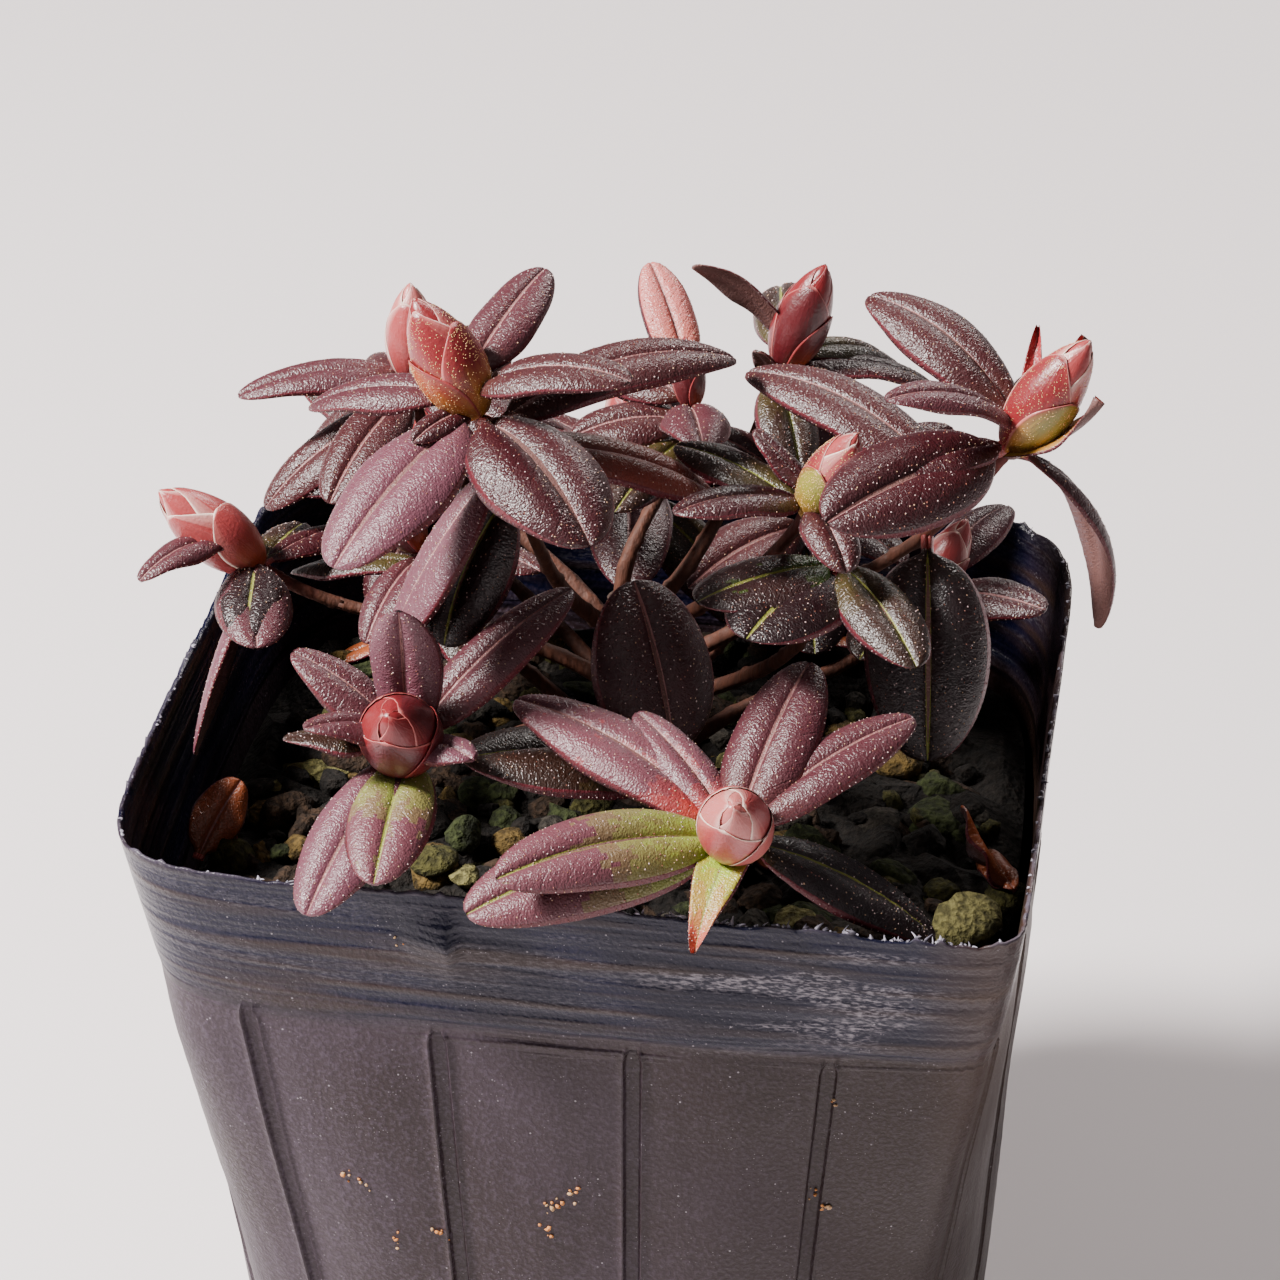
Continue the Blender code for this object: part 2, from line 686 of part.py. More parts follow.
def leaf_solid(base, row):
    """Closed blade: a pointed lens section carried along the midrib."""
    _, turn, rise, length, width, bend, roll = row
    part = np.array(LEAF_STATIONS)
    midrib, slope = leaf_midrib(base, turn, rise, length, bend, part)
    side, lift = leaf_frame(turn, slope, roll)
    half = leaf_half_width(part, width)[:, None]
    drop = lift * (width * LEAF_ARCH * np.sin(math.pi * part)[:, None])
    thick = lift * (LEAF_THICK / 2.0)
    left = midrib - side * half - drop
    right = midrib + side * half - drop
    body = np.stack([left, midrib - thick, right, midrib + thick], axis=1)
    ends, _ = leaf_midrib(base, turn, rise, length, bend, (0.0, 1.0))
    points = np.concatenate([body.reshape(-1, 3), ends])
    faces = ring_faces(len(part), 4)
    last = (len(part) - 1) * 4
    for column in range(4):
        after = (column + 1) % 4
        faces.append((len(points) - 2, after, column))
        faces.append((len(points) - 1, last + column, last + after))
    return points, faces


# Buds
def bud_solid(shoot):
    """Pointed egg on the end of the stem, sunk into it."""
    whorl, axis, (length, width), _, _, _ = SHOOTS[shoot]
    along = direction(*axis)
    part = np.array(BUD_RINGS)
    radii = width / 2.0 * np.sin(math.pi * part ** BUD_LOW) ** BUD_BLUNTNESS
    start = np.array(whorl, float) - along * BUD_SINK
    total = length + BUD_SINK
    path = start + along * (part * total)[:, None]
    points, faces = tube(path, radii, BUD_SIDES)
    faces = faces[:-2]
    points = np.concatenate([points, [start, start + along * total]])
    last = (len(part) - 1) * BUD_SIDES
    for column in range(BUD_SIDES):
        after = (column + 1) % BUD_SIDES
        faces.append((len(points) - 2, after, column))
        faces.append((len(points) - 1, last + column, last + after))
    return points, faces


def build_mass(shoot, leaves, paint):
    """One mass of leaves: stem, bud and leaves joined at once."""
    path = shoot_path(shoot)
    begin = bough_end(shoot) + LIMB_GAP
    points = part_of_path(path, begin, path_length(path), STEM_RINGS)
    points = np.concatenate([points, [points[-1] + direction(*SHOOTS[shoot][1]) * STEM_IN_BUD]])
    body, faces = tube(points, np.full(STEM_RINGS + 1, STEM_RADIUS), LIMB_SIDES)
    mass = add_object("mass_" + shoot, body, faces, paint, True)
    group = bpy.data.collections.new("parts_of_" + shoot)
    bpy.context.scene.collection.children.link(group)
    solids = [bud_solid(shoot)] + [leaf_solid(base, row) for base, row in leaves]
    for number, (points, faces) in enumerate(solids):
        piece = add_object("piece_%d" % number, points, faces, paint, True)
        bpy.context.scene.collection.objects.unlink(piece)
        group.objects.link(piece)
    apply_boolean(mass, group, "UNION")
    return mass


def main():
    """Build the whole plant and its pot."""
    clear_scene()
    build_pot(film_material())
    build_grit(grit_material())
    build_trunk(bark_material("trunk"))
    grown = grow()
    for shoot in SHOOTS:
        build_bough(shoot, bark_material(shoot))
    for shoot in SHOOTS:
        build_mass(shoot, grown[shoot], leaf_material(shoot))


main()
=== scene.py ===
# %% [markdown]
# A dwarf rhododendron in bud, in its winter leaves, grown in a thin film pot that has
# been squashed from round to nearly square.  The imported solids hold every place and
# size, so this lesson only dresses them: leaves, buds, bark, grit and film.
# It could be sculpted by eye, but a shrub is better grown by a rule: the same named
# sizes and the same seeded rule as the solids give the same leaves in the same
# places, and each surface is then worked out again on a much finer grid.

import math
import random

import bpy
import numpy as np
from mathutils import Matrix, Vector


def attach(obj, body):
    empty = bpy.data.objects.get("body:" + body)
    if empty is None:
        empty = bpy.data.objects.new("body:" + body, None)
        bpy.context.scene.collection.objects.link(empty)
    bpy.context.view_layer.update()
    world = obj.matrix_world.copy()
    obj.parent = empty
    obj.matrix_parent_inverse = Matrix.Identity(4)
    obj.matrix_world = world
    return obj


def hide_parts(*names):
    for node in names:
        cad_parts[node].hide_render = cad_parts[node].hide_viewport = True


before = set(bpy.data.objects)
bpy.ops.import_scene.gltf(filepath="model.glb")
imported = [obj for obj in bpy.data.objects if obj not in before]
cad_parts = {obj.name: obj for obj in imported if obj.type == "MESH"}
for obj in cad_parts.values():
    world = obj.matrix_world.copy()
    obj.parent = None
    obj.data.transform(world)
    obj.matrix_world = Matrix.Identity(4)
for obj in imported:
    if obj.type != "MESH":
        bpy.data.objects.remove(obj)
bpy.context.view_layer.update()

# %% [markdown]
# The camera and the light come first, because every later choice is judged through
# them.  The view is from in front, a little to the right and 30 degrees down, with a
# long lens, so that far leaves look as large as near ones.  The angle and distance
# could be found by hand, but they follow from the corners of the rim in the picture.
# One warm lamp at the plant's left shoulder puts the sheen on the leaves and leaves the
# pot's inside dark, and two weak broad ones open the shadows.

# %% Camera, floor and lamps
MM = 0.001
UP = np.array([0.0, 0.0, 1.0])
VIEW_TURN = 9.8
VIEW_RISE = 30.0
VIEW_DISTANCE = 560.0
VIEW_CENTRE = (1.8, 0.0, 80.4)
PICTURE_WIDTH = 1280
PIXELS_PER_MM = 11.15
SENSOR = 36.0
FLOOR_HALF = 4.0
FLOOR_COLOUR = (0.79, 0.735, 0.745)
FLOOR_ROUGHNESS = 0.8
WORLD_COLOUR = (0.76, 0.75, 0.84)
WORLD_STRENGTH = 0.10

# Each lamp: turn, rise, distance, size, power and colour
LAMPS = {
    "key": (202, 46, 650, 120, 18.0, (1.0, 0.96, 0.93)),
    "back": (75, 38, 800, 260, 4.0, (1.0, 0.94, 0.90)),
    "fill": (-60, 50, 900, 600, 0.8, (1.0, 0.93, 0.90)),
}


def facing(turn, rise):
    """Unit vector of a turn from +X towards +Y and a rise from level, in degrees."""
    turn = math.radians(turn)
    rise = math.radians(rise)
    return np.array([math.cos(turn) * math.cos(rise), math.sin(turn) * math.cos(rise), math.sin(rise)])


def shown(name, data):
    """New object in the scene for a mesh, a curve, a lamp or a camera."""
    piece = bpy.data.objects.new(name, data)
    bpy.context.scene.collection.objects.link(piece)
    return piece


def aimed(obj, place, target):
    """Put an object at a place with its -Z axis towards a target, both in millimetres."""
    obj.location = Vector(place) * MM
    way = Vector(target) * MM - obj.location
    obj.rotation_euler = way.to_track_quat("-Z", "Y").to_euler()


def add_camera():
    """Camera on the line from the view's centre, with the lens that gives the picture's scale."""
    data = bpy.data.cameras.new("camera")
    data.sensor_width = SENSOR
    data.lens = SENSOR * PIXELS_PER_MM * VIEW_DISTANCE / PICTURE_WIDTH
    camera = shown("camera", data)
    back = facing(VIEW_TURN - 90.0, VIEW_RISE)
    aimed(camera, np.array(VIEW_CENTRE) + back * VIEW_DISTANCE, VIEW_CENTRE)
    bpy.context.scene.camera = camera
    return data.lens


def add_lamp(name, turn, rise, distance, size, power, colour):
    """Square area lamp that looks at the plant."""
    data = bpy.data.lights.new(name, "AREA")
    data.size = size * MM
    data.energy = power
    data.color = colour
    aimed(shown(name, data), np.array(VIEW_CENTRE) + facing(turn, rise) * distance, VIEW_CENTRE)


def add_floor():
    """Large plain floor under the pot."""
    mesh = bpy.data.meshes.new("floor")
    half = FLOOR_HALF
    corners = [(-half, -half, 0), (half, -half, 0), (half, half, 0), (-half, half, 0)]
    mesh.from_pydata(corners, [], [(0, 1, 2, 3)])
    floor = shown("floor", mesh)
    paint = bpy.data.materials.new("floor")
    paint.use_nodes = True
    shader = paint.node_tree.nodes["Principled BSDF"]
    shader.inputs["Base Color"].default_value = (*FLOOR_COLOUR, 1.0)
    shader.inputs["Roughness"].default_value = FLOOR_ROUGHNESS
    mesh.materials.append(paint)


def add_world():
    """Weak cool light from all around."""
    world = bpy.data.worlds.new("studio")
    world.use_nodes = True
    background = world.node_tree.nodes["Background"]
    background.inputs["Color"].default_value = (*WORLD_COLOUR, 1.0)
    background.inputs["Strength"].default_value = WORLD_STRENGTH
    bpy.context.scene.world = world


lens = add_camera()
add_floor()
for name, lamp in LAMPS.items():
    add_lamp(name, *lamp)
add_world()
print("lens in mm", round(lens, 1), "lamps", len(LAMPS))

# %% [markdown]
# Growth sizes.  These are the shrub's own measures, in millimetres and degrees, the
# same as in the solids: where each shoot ends, how its bud stands, and how each leaf
# lies.  Only the blunt end of the blades is rounder, as fine faces can show it.  They
# could be read back from the solids' points, but then nobody could change a shoot, so
# the measures are written out and the shapes follow from them.

# %% Sizes of limbs, shoots and leaves
GAP = 0.3
LIMB_GAP = 0.42
POT_HEIGHT = 76.0
POT_WALL = 0.8
POT_BASE_RADIUS = 33.0
SEAT_HEIGHT = 62.5

# Trunk
TRUNK_FOOT = SEAT_HEIGHT + GAP
TRUNK_TOP = 84.0
TRUNK_FOOT_AT = (2.0, 4.0)
TRUNK_TOP_AT = (0.0, 1.0)
TRUNK_SWAY = 0.7
TRUNK_RADIUS = 2.5
TRUNK_TIP_RADIUS = 1.3
FLARE = 1.1
FLARE_HEIGHT = 1.6

# Boughs and shoot stems
BOUGH_RADIUS = 1.05
STEM_RADIUS = 0.75
LEAVING_RISE = 40.0
HANDLE = 0.38
PATH_STEPS = 81

# Leaves and buds
BLUNTNESS = 0.44
WIDE_PLACE = 0.9
LEAF_ARCH = 0.1
PETIOLE = 0.55
PETIOLE_PART = 0.1
BUD_SINK = 1.2
BUD_LOW = 0.85
BUD_BLUNTNESS = 0.75

# Growing rule
GOLDEN_TURN = 137.5
LEAF_STEP = 0.55
RISE_STEP = 4.0
ROOM = 1.8
ROOM_SAMPLES = 11
LIMB_SAMPLES = 40
CROWN_RADIUS = 50.0
CROWN_TOP = 124.0
CROWN_LOW = 66.0
RIM_ROOM = 2.5

# Each shoot: place of its whorl, bud axis (turn, rise), bud (length, width),
# height on the trunk, leaving turn, length of its own stem
SHOOTS = {
    "middle_top": ((4.6, 10, 100), (150, 84), (6.0, 3.6), 84, None, 10),
    "left_top": ((-9.5, -18, 112.5), (180, 63), (11.0, 7.0), 82, -120, 14),
    "right_front": ((19, -13.5, 103), (-35, 60), (10.5, 6.2), 81, -50, 10),
    "back_top": ((12.4, 15, 102), (0, 70), (10.5, 6.5), 82, 35, 10),
    "left_back": ((-21, 11, 100), (100, 85), (8.5, 5.6), 80, 150, 10),
    "right_top": ((36, -11, 109.5), (0, 59), (12.0, 7.6), 77, -12, 18),
    "left_low": ((-33, -3, 87), (-165, 43), (11.0, 6.8), 74.5, 192, 9),
    "rear": ((-4, 28, 84), (95, 70), (9.0, 6.0), 76, 95, 9),
    "middle": ((21.5, -13.5, 97.5), (0, 75), (1.6, 1.9), 73, -30, 5),
    "front_left": ((-13, -31, 86), (-92, 47), (9.5, 7.2), 71, -118, 8),
    "front": ((16, -35, 82.5), (-83, 47), (9.5, 7.6), 71, -68, 7),
    "middle_low": ((8.5, -21, 80), (-75, 50), (2.2, 2.0), 67, -90, 6),
    "rear_left": ((-22, 24, 84), (135, 60), (9.0, 6.0), 70, 140, 9),
    "rear_right": ((14, 27, 81), (65, 62), (9.0, 6.0), 70, 60, 9),
    "right_rear": ((26, 17, 79), (35, 60), (7.0, 4.8), 67, 20, 8),
    "left_middle": ((-19, 1, 88), (175, 60), (6.5, 4.6), 66.5, 170, 8),
}

# Leaves that can be read one by one: place up the stem, turn, rise, length,
# width, bend over the length and, for a few, roll
LEAVES = {
    "left_top": (
        (0.5, 175, 15, 15.0, 6.5, 50),
        (-0.5, -120, -5, 20.0, 9.5, 35),
        (-6.0, -160, -50, 20.5, 9.5, 20),
        (-1.5, -46, 12, 18.0, 11.5, 55),
        (1.0, -10, 45, 16.0, 7.0, 60),
        (-3.0, 35, 35, 24.5, 8.0, 60),
        (2.0, 70, 35, 15.0, 6.0, 30),
        (-9.0, -140, -48, 15.5, 8.0, 30, -30),
        (-5.0, 25, 0, 21.0, 8.0, 40),
    ),
    "left_back": (
        (-3.0, -150, -10, 17.0, 7.0, 40),
        (-3.0, 175, -35, 14.0, 6.0, 30),
    ),
    "left_low": (
        (0.0, -75, 0, 12.5, 7.0, 20),
        (-1.0, -100, -15, 19.5, 6.0, 40, 75),
        (2.0, -125, 40, 12.0, 4.0, 70),
        (-1.0, 80, 5, 10.0, 5.0, 20),
    ),
    "front_left": (
        (0.0, 85, 84, 14.5, 6.5, -25),
        (0.0, 170, 55, 13.0, 6.5, 40),
        (0.5, -140, 50, 11.0, 5.0, 50),
        (0.0, 45, 45, 20.0, 7.0, 30),
        (-0.5, -110, -10, 18.5, 8.0, 30),
        (-1.0, -90, 0, 16.0, 7.5, 30),
        (1.0, -30, 30, 8.0, 5.0, 40),
    ),
    "front": (
        (0.0, 75, 45, 18.0, 8.0, 30),
        (0.0, 40, 35, 19.0, 7.0, 30),
        (0.0, 135, 35, 15.5, 5.0, 30),
        (-1.0, 155, 35, 24.0, 8.5, 40),
        (-1.0, -145, 20, 22.5, 7.0, 30),
        (-1.5, -150, 10, 24.5, 8.0, 30),
        (0.0, -100, 10, 9.5, 3.0, 70),
        (-1.0, 10, -15, 20.0, 9.0, 30),
    ),
    "right_front": (
        (0.0, -145, 30, 13.5, 5.5, 40),
        (1.0, 160, 50, 8.0, 3.0, 20),
        (0.0, -60, 15, 9.0, 5.0, 60),
        (-1.0, 155, 25, 14.0, 5.5, 30),
    ),
    "right_top": (
        (1.0, 150, 55, 19.0, 8.0, 60),
        (1.0, -145, 55, 15.0, 5.5, 60),
        (-1.0, -135, 12, 19.5, 9.5, 30, -30),
        (-1.0, 30, -25, 23.0, 6.0, 80),
        (2.0, 90, 50, 9.0, 2.5, 10),
        (2.0, 45, 55, 9.0, 3.0, 10),
        (0.0, -15, 20, 9.0, 4.0, -40),
        (-8.0, 155, 45, 24.0, 8.0, 60),
        (-13.0, -80, -45, 20.0, 11.0, 30),
    ),
    "back_top": (
        (1.0, -165, 75, 13.0, 4.0, 60, 60),
        (0.0, 40, 10, 14.0, 5.0, 60),
        (-2.4, -115, 68, 9.0, 3.2, 25),
    ),
    "middle_top": (
        (2.0, 120, 45, 12.0, 5.0, 20),
    ),
    "middle": (
        (0.0, -142, 10, 14.0, 9.0, 20),
        (-1.0, -115, 15, 14.0, 10.0, 30),
        (0.0, -55, 5, 15.0, 7.0, 30),
    ),
    "middle_low": (
        (0.0, 125, 75, 17.0, 11.5, 30),
        (0.0, -152, 26, 20.0, 12.0, 25),
    ),
}

# Leaves grown by the seeded rule: how many, first turn, rise, length, width, seed
RULE = {
    "middle_top": (8, 10, 30, 13.0, 6.0, 3),
    "left_top": (2, 95, 25, 15.0, 6.0, 4),
    "right_front": (2, 60, 20, 13.0, 6.0, 6),
    "back_top": (9, 100, 24, 15.0, 6.5, 8),
    "left_back": (7, 60, 20, 15.0, 6.5, 9),
    "left_middle": (8, 200, 24, 13.0, 6.5, 21),
    "right_top": (2, 80, 15, 14.0, 6.0, 10),
    "left_low": (3, 140, 20, 13.0, 5.5, 12),
    "rear": (9, 90, 26, 17.0, 7.5, 13),
    "front_left": (1, -170, 10, 13.0, 6.0, 15),
    "rear_left": (9, 150, 28, 16.0, 7.5, 18),
    "rear_right": (9, 40, 30, 15.0, 7.5, 19),
    "right_rear": (7, 60, 36, 12.0, 6.0, 20),
}
print("shoots", len(SHOOTS), "leaves read one by one", sum(len(rows) for rows in LEAVES.values()))

# %% [markdown]
# Limbs and leaves as curves.  A limb is one cubic curve that leaves the trunk's side
# and arrives along its bud's axis.  A leaf's midrib is an arc that bends evenly from
# its rise.  Both could be drawn by hand as splines, but as formulas they can be read
# at any point, which is what the fine surfaces below need.

# %% Curves of the plant
def trunk_axis(height):
    """Centre of the trunk at a height: a leaning line with a slight sway."""
    part = (np.asarray(height, float) - TRUNK_FOOT) / (TRUNK_TOP - TRUNK_FOOT)
    across = TRUNK_FOOT_AT[0] + (TRUNK_TOP_AT[0] - TRUNK_FOOT_AT[0]) * part
    deep = TRUNK_FOOT_AT[1] + (TRUNK_TOP_AT[1] - TRUNK_FOOT_AT[1]) * part
    sway = TRUNK_SWAY * np.sin(math.pi * part)
    return np.stack([across + sway, deep, np.asarray(height, float)], axis=-1)


def trunk_radius(height):
    """Straight taper plus a root flare that dies away upwards."""
    height = np.asarray(height, float)
    part = (height - TRUNK_FOOT) / (TRUNK_TOP - TRUNK_FOOT)
    flare = FLARE * np.exp(-(height - TRUNK_FOOT) / FLARE_HEIGHT)
    return TRUNK_RADIUS + (TRUNK_TIP_RADIUS - TRUNK_RADIUS) * part + flare


def shoot_path(shoot):
    """Whole path of a limb: a cubic curve from beside the trunk to the whorl."""
    whorl, axis, _, height, turn, _ = SHOOTS[shoot]
    end = np.array(whorl, float)
    arrive = facing(*axis)
    if turn is None:
        start = trunk_axis(height) + (0.0, 0.0, LIMB_GAP)
        leave = UP
    else:
        beside = trunk_radius(height) + GAP + BOUGH_RADIUS * math.sin(math.radians(LEAVING_RISE))
        start = trunk_axis(height) + facing(turn, 0.0) * beside
        leave = facing(turn, LEAVING_RISE)
    reach = np.linalg.norm(end - start) * HANDLE
    part = np.linspace(0.0, 1.0, PATH_STEPS)[:, None]
    keep = 1.0 - part
    first = start * keep ** 3 + 3.0 * (start + leave * reach) * keep ** 2 * part
    return first + 3.0 * (end - arrive * reach) * keep * part ** 2 + end * part ** 3


def run_along(path):
    """Distance of each point of a path from its start."""
    return np.concatenate([[0.0], np.cumsum(np.linalg.norm(np.diff(path, axis=0), axis=1))])


def path_at(path, wanted):
    """Points of a path at distances from its start."""
    run = run_along(path)
    return np.stack([np.interp(wanted, run, values) for values in path.T], axis=1)


def part_of_path(path, begin, finish, count):
    """Even points on a path between two distances from its start."""
    return path_at(path, np.linspace(begin, finish, count))


def path_length(path):
    """Length of a path."""
    return float(np.linalg.norm(np.diff(path, axis=0), axis=1).sum())


def bough_end(shoot):
    """Distance along the limb where the bough stops and the shoot's stem begins."""
    return path_length(shoot_path(shoot)) - SHOOTS[shoot][5]


def leaf_midrib(base, turn, rise, length, bend, part):
    """Arc whose slope falls evenly from the rise by the bend over the length."""
    part = np.asarray(part, float)
    start = math.radians(rise)
    fall = math.radians(bend) if abs(bend) > 0.5 else math.radians(0.5)
    slope = start - fall * part
    level = length * (math.sin(start) - np.sin(slope)) / fall
    up = length * (np.cos(slope) - math.cos(start)) / fall
    ahead = facing(turn, 0.0)
    return base + level[:, None] * ahead + up[:, None] * UP, slope


def leaf_frame(turn, slope, roll):
    """Sideways and upward vectors of the blade at each slope."""
    ahead = facing(turn, 0.0)
    across = np.array([-ahead[1], ahead[0], 0.0])
    upward = -np.sin(slope)[:, None] * ahead + np.cos(slope)[:, None] * UP
    roll = math.radians(roll)
    side = math.cos(roll) * across + math.sin(roll) * upward
    lift = math.cos(roll) * upward - math.sin(roll) * across
    return side, lift


def leaf_half_width(part, width):
    """Half width along the blade: a stalk, then a blunt ellipse."""
    blade = np.clip((np.asarray(part, float) - PETIOLE_PART) / (1.0 - PETIOLE_PART), 0.0, 1.0)
    ellipse = np.sin(math.pi * blade ** WIDE_PLACE) ** BLUNTNESS
    return np.maximum(width / 2.0 * ellipse, PETIOLE * (1.0 - blade))


lengths = [path_length(shoot_path(shoot)) for shoot in SHOOTS]
print("limbs from", round(min(lengths), 1), "to", round(max(lengths), 1), "mm")

# %% [markdown]
# The growing rule.  The leaves that can be told apart are placed one by one; the rest
# follow the golden angle round each stem, with seeded sizes, and one that would meet
# another shoot or the pot is skipped.  The draws come in the same order as in the
# solids, so the same leaves appear.

# %% Grow the leaves
def leaf_rows(shoot):
    """All leaves of a shoot: the ones read one by one, with no roll where none is given, then the rule's."""
    rows = [((*row, 0)[:7], True) for row in LEAVES.get(shoot, ())]
    if shoot in RULE:
        count, first, rise, length, width, seed = RULE[shoot]
        chance = random.Random(seed)
        for number in range(count):
            turn = first + GOLDEN_TURN * number
            lower = -LEAF_STEP * number
            row = (
                lower,
                turn % 360.0,
                rise - RISE_STEP * number + chance.uniform(-8.0, 8.0),
                length * chance.uniform(0.82, 1.1),
                width * chance.uniform(0.85, 1.1),
                chance.uniform(20.0, 55.0),
                chance.uniform(-15.0, 15.0),
            )
            rows.append((row, False))
    return rows


def leaf_base(shoot, up):
    """Point on the stem's centre line, a distance above or below the whorl."""
    path = shoot_path(shoot)
    if up >= 0.0:
        return path[-1] + facing(*SHOOTS[shoot][1]) * up
    length = path_length(path)
    return part_of_path(path, length + up, length + up, 1)[0]


def leaf_samples(base, row):
    """Points over the blade, used to keep leaves apart."""
    _, turn, rise, length, width, bend, roll = row
    part = np.linspace(0.25, 1.0, ROOM_SAMPLES)
    midrib, slope = leaf_midrib(base, turn, rise, length, bend, part)
    side, _ = leaf_frame(turn, slope, roll)
    half = leaf_half_width(part, width)[:, None]
    return np.concatenate([midrib + side * half * share for share in (-1.0, -0.5, 0.0, 0.5, 1.0)])


def limb_samples():
    """Points along every limb, by shoot."""
    found = {}
    for shoot in SHOOTS:
        path = shoot_path(shoot)
        found[shoot] = part_of_path(path, 0.0, path_length(path), LIMB_SAMPLES)
    return found


def inside_crown(points):
    """True when no point leaves the crown's room or comes near the pot's wall."""
    reach = np.linalg.norm(points[:, :2], axis=1)
    low = points[:, 2] < POT_HEIGHT + RIM_ROOM
    if low.any() and reach[low].max() > POT_BASE_RADIUS:
        return False
    return reach.max() < CROWN_RADIUS and points[:, 2].min() > CROWN_LOW and points[:, 2].max() < CROWN_TOP


def has_room(shoot, points, taken, limbs):
    """True when a leaf of the rule keeps its distance from every other shoot's limb and leaves."""
    if not inside_crown(points):
        return False
    others = [name for name in SHOOTS if name != shoot]
    crowd = [limbs[name] for name in others]
    crowd += [leaf for name in others for leaf in taken[name]]
    crowd = np.concatenate(crowd)
    gaps = np.linalg.norm(points[:, None, :] - crowd[None, :, :], axis=2)
    return gaps.min() > ROOM


def grow():
    """Leaves by shoot; a leaf of the rule that meets another or leaves the crown is skipped."""
    taken = {shoot: [] for shoot in SHOOTS}
    grown = {shoot: [] for shoot in SHOOTS}
    limbs = limb_samples()
    for named in (True, False):
        for shoot in SHOOTS:
            for row, is_named in leaf_rows(shoot):
                if is_named != named:
                    continue
                base = leaf_base(shoot, row[0])
                points = leaf_samples(base, row)
                if not named and not has_room(shoot, points, taken, limbs):
                    continue
                taken[shoot].append(points)
                grown[shoot].append((base, row))
    return grown


GROWN = grow()
print("leaves grown", sum(len(leaves) for leaves in GROWN.values()))

# %% [markdown]
# Every leaf, bud scale, twig and stone here is the same kind of thing: a closed skin,
# stored as a grid of rings with a point at each end.  Blender could make each with its
# own tool, but a grid of two parameters is computed whole as an array, and one
# function can then join hundreds of them into one piece with a tidy map for baking.

# %% Closed skins from rings
BAKE_MARGIN = 0.03

# All paints, which a face's slot picks by number
PAINTS = []


def with_ends(rings):
    """Points of the rings, then the mean of the first ring and of the last one."""
    return np.concatenate([rings.reshape(-1, 3), [rings[0].mean(axis=0)], [rings[-1].mean(axis=0)]])


def closed_skin(rings, slots):
    """Rings (rows, columns, 3) closed by a point at each end."""
    rows, columns, _ = rings.shape
    points = with_ends(rings)
    here = np.arange(rows * columns).reshape(rows, columns)
    after = np.roll(here, -1, axis=1)
    quads = np.stack([here[:-1], after[:-1], after[1:], here[1:]], axis=-1).reshape(-1, 4)
    first = np.full(columns, rows * columns)
    tris = np.concatenate([
        np.stack([first, after[0], here[0]], axis=-1),
        np.stack([first + 1, here[-1], after[-1]], axis=-1),
    ])
    slots = np.broadcast_to(slots, (rows + 1, columns))
    slots = np.concatenate([slots[1:-1].ravel(), slots[0], slots[-1]])
    return points, quads, tris, slots


def face_map(left, low, wide, high):
    """Map of four-sided faces from their left edge, low edge, width and high edge."""
    return np.stack([left, low, left + wide, low, left + wide, high, left, high], axis=-1).reshape(-1, 2)


def skin_map(rows, columns):
    """Map of one skin: across is the way round, up is the row, and the end points are rows of their own."""
    across = np.arange(columns) / columns
    step = 1.0 / columns
    up = (np.arange(rows) + 1.0) / (rows + 1.0)
    left = np.broadcast_to(across, (rows - 1, columns))
    low = np.broadcast_to(up[:-1, None], (rows - 1, columns))
    high = np.broadcast_to(up[1:, None], (rows - 1, columns))
    quads = face_map(left, low, step, high)
    zero = np.zeros(columns)
    one = np.ones(columns)
    start = np.stack([across + step / 2, zero, across + step, zero + up[0], across, zero + up[0]], axis=-1)
    end = np.stack([across + step / 2, one, across, zero + up[-1], across + step, zero + up[-1]], axis=-1)
    return quads, np.concatenate([start.reshape(-1, 2), end.reshape(-1, 2)])


def inside_out(points, quads, tris):
    """True when the volume that the faces enclose, summed from the triangles' corners, is negative."""
    every = np.concatenate([quads[:, :3], quads[:, [0, 2, 3]], tris])
    corner = points[every]
    volume = (corner[:, 0] * np.cross(corner[:, 1], corner[:, 2])).sum()
    return volume < 0.0


def mesh_piece(name, points, quads, tris, slots, maps=None, places=None):
    """Piece from whole arrays: points in millimetres, four- and three-sided faces, a slot for each face."""
    mesh = bpy.data.meshes.new(name)
    mesh.vertices.add(len(points))
    mesh.vertices.foreach_set("co", (points * MM).astype(np.float32).ravel())
    corners = np.concatenate([quads.ravel(), tris.ravel()]).astype(np.int32)
    mesh.loops.add(len(corners))
    mesh.loops.foreach_set("vertex_index", corners)
    sizes = np.concatenate([np.full(len(quads), 4), np.full(len(tris), 3)])
    mesh.polygons.add(len(sizes))
    mesh.polygons.foreach_set("loop_start", (np.cumsum(sizes) - sizes).astype(np.int32))
    used, slots = np.unique(slots, return_inverse=True)
    mesh.polygons.foreach_set("material_index", slots.astype(np.int32))
    mesh.polygons.foreach_set("use_smooth", np.ones(len(sizes), bool))
    if maps is not None:
        layer = mesh.uv_layers.new(name="OFBake")
        layer.data.foreach_set("uv", maps.astype(np.float32).ravel())
    if places is not None:
        kept = mesh.attributes.new("place", "FLOAT_VECTOR", "POINT")
        kept.data.foreach_set("vector", places.astype(np.float32).ravel())
    for slot in used:
        mesh.materials.append(PAINTS[slot])
    mesh.update(calc_edges=True)
    mesh.validate()
    piece = shown(name, mesh)
    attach(piece, "root")
    return piece


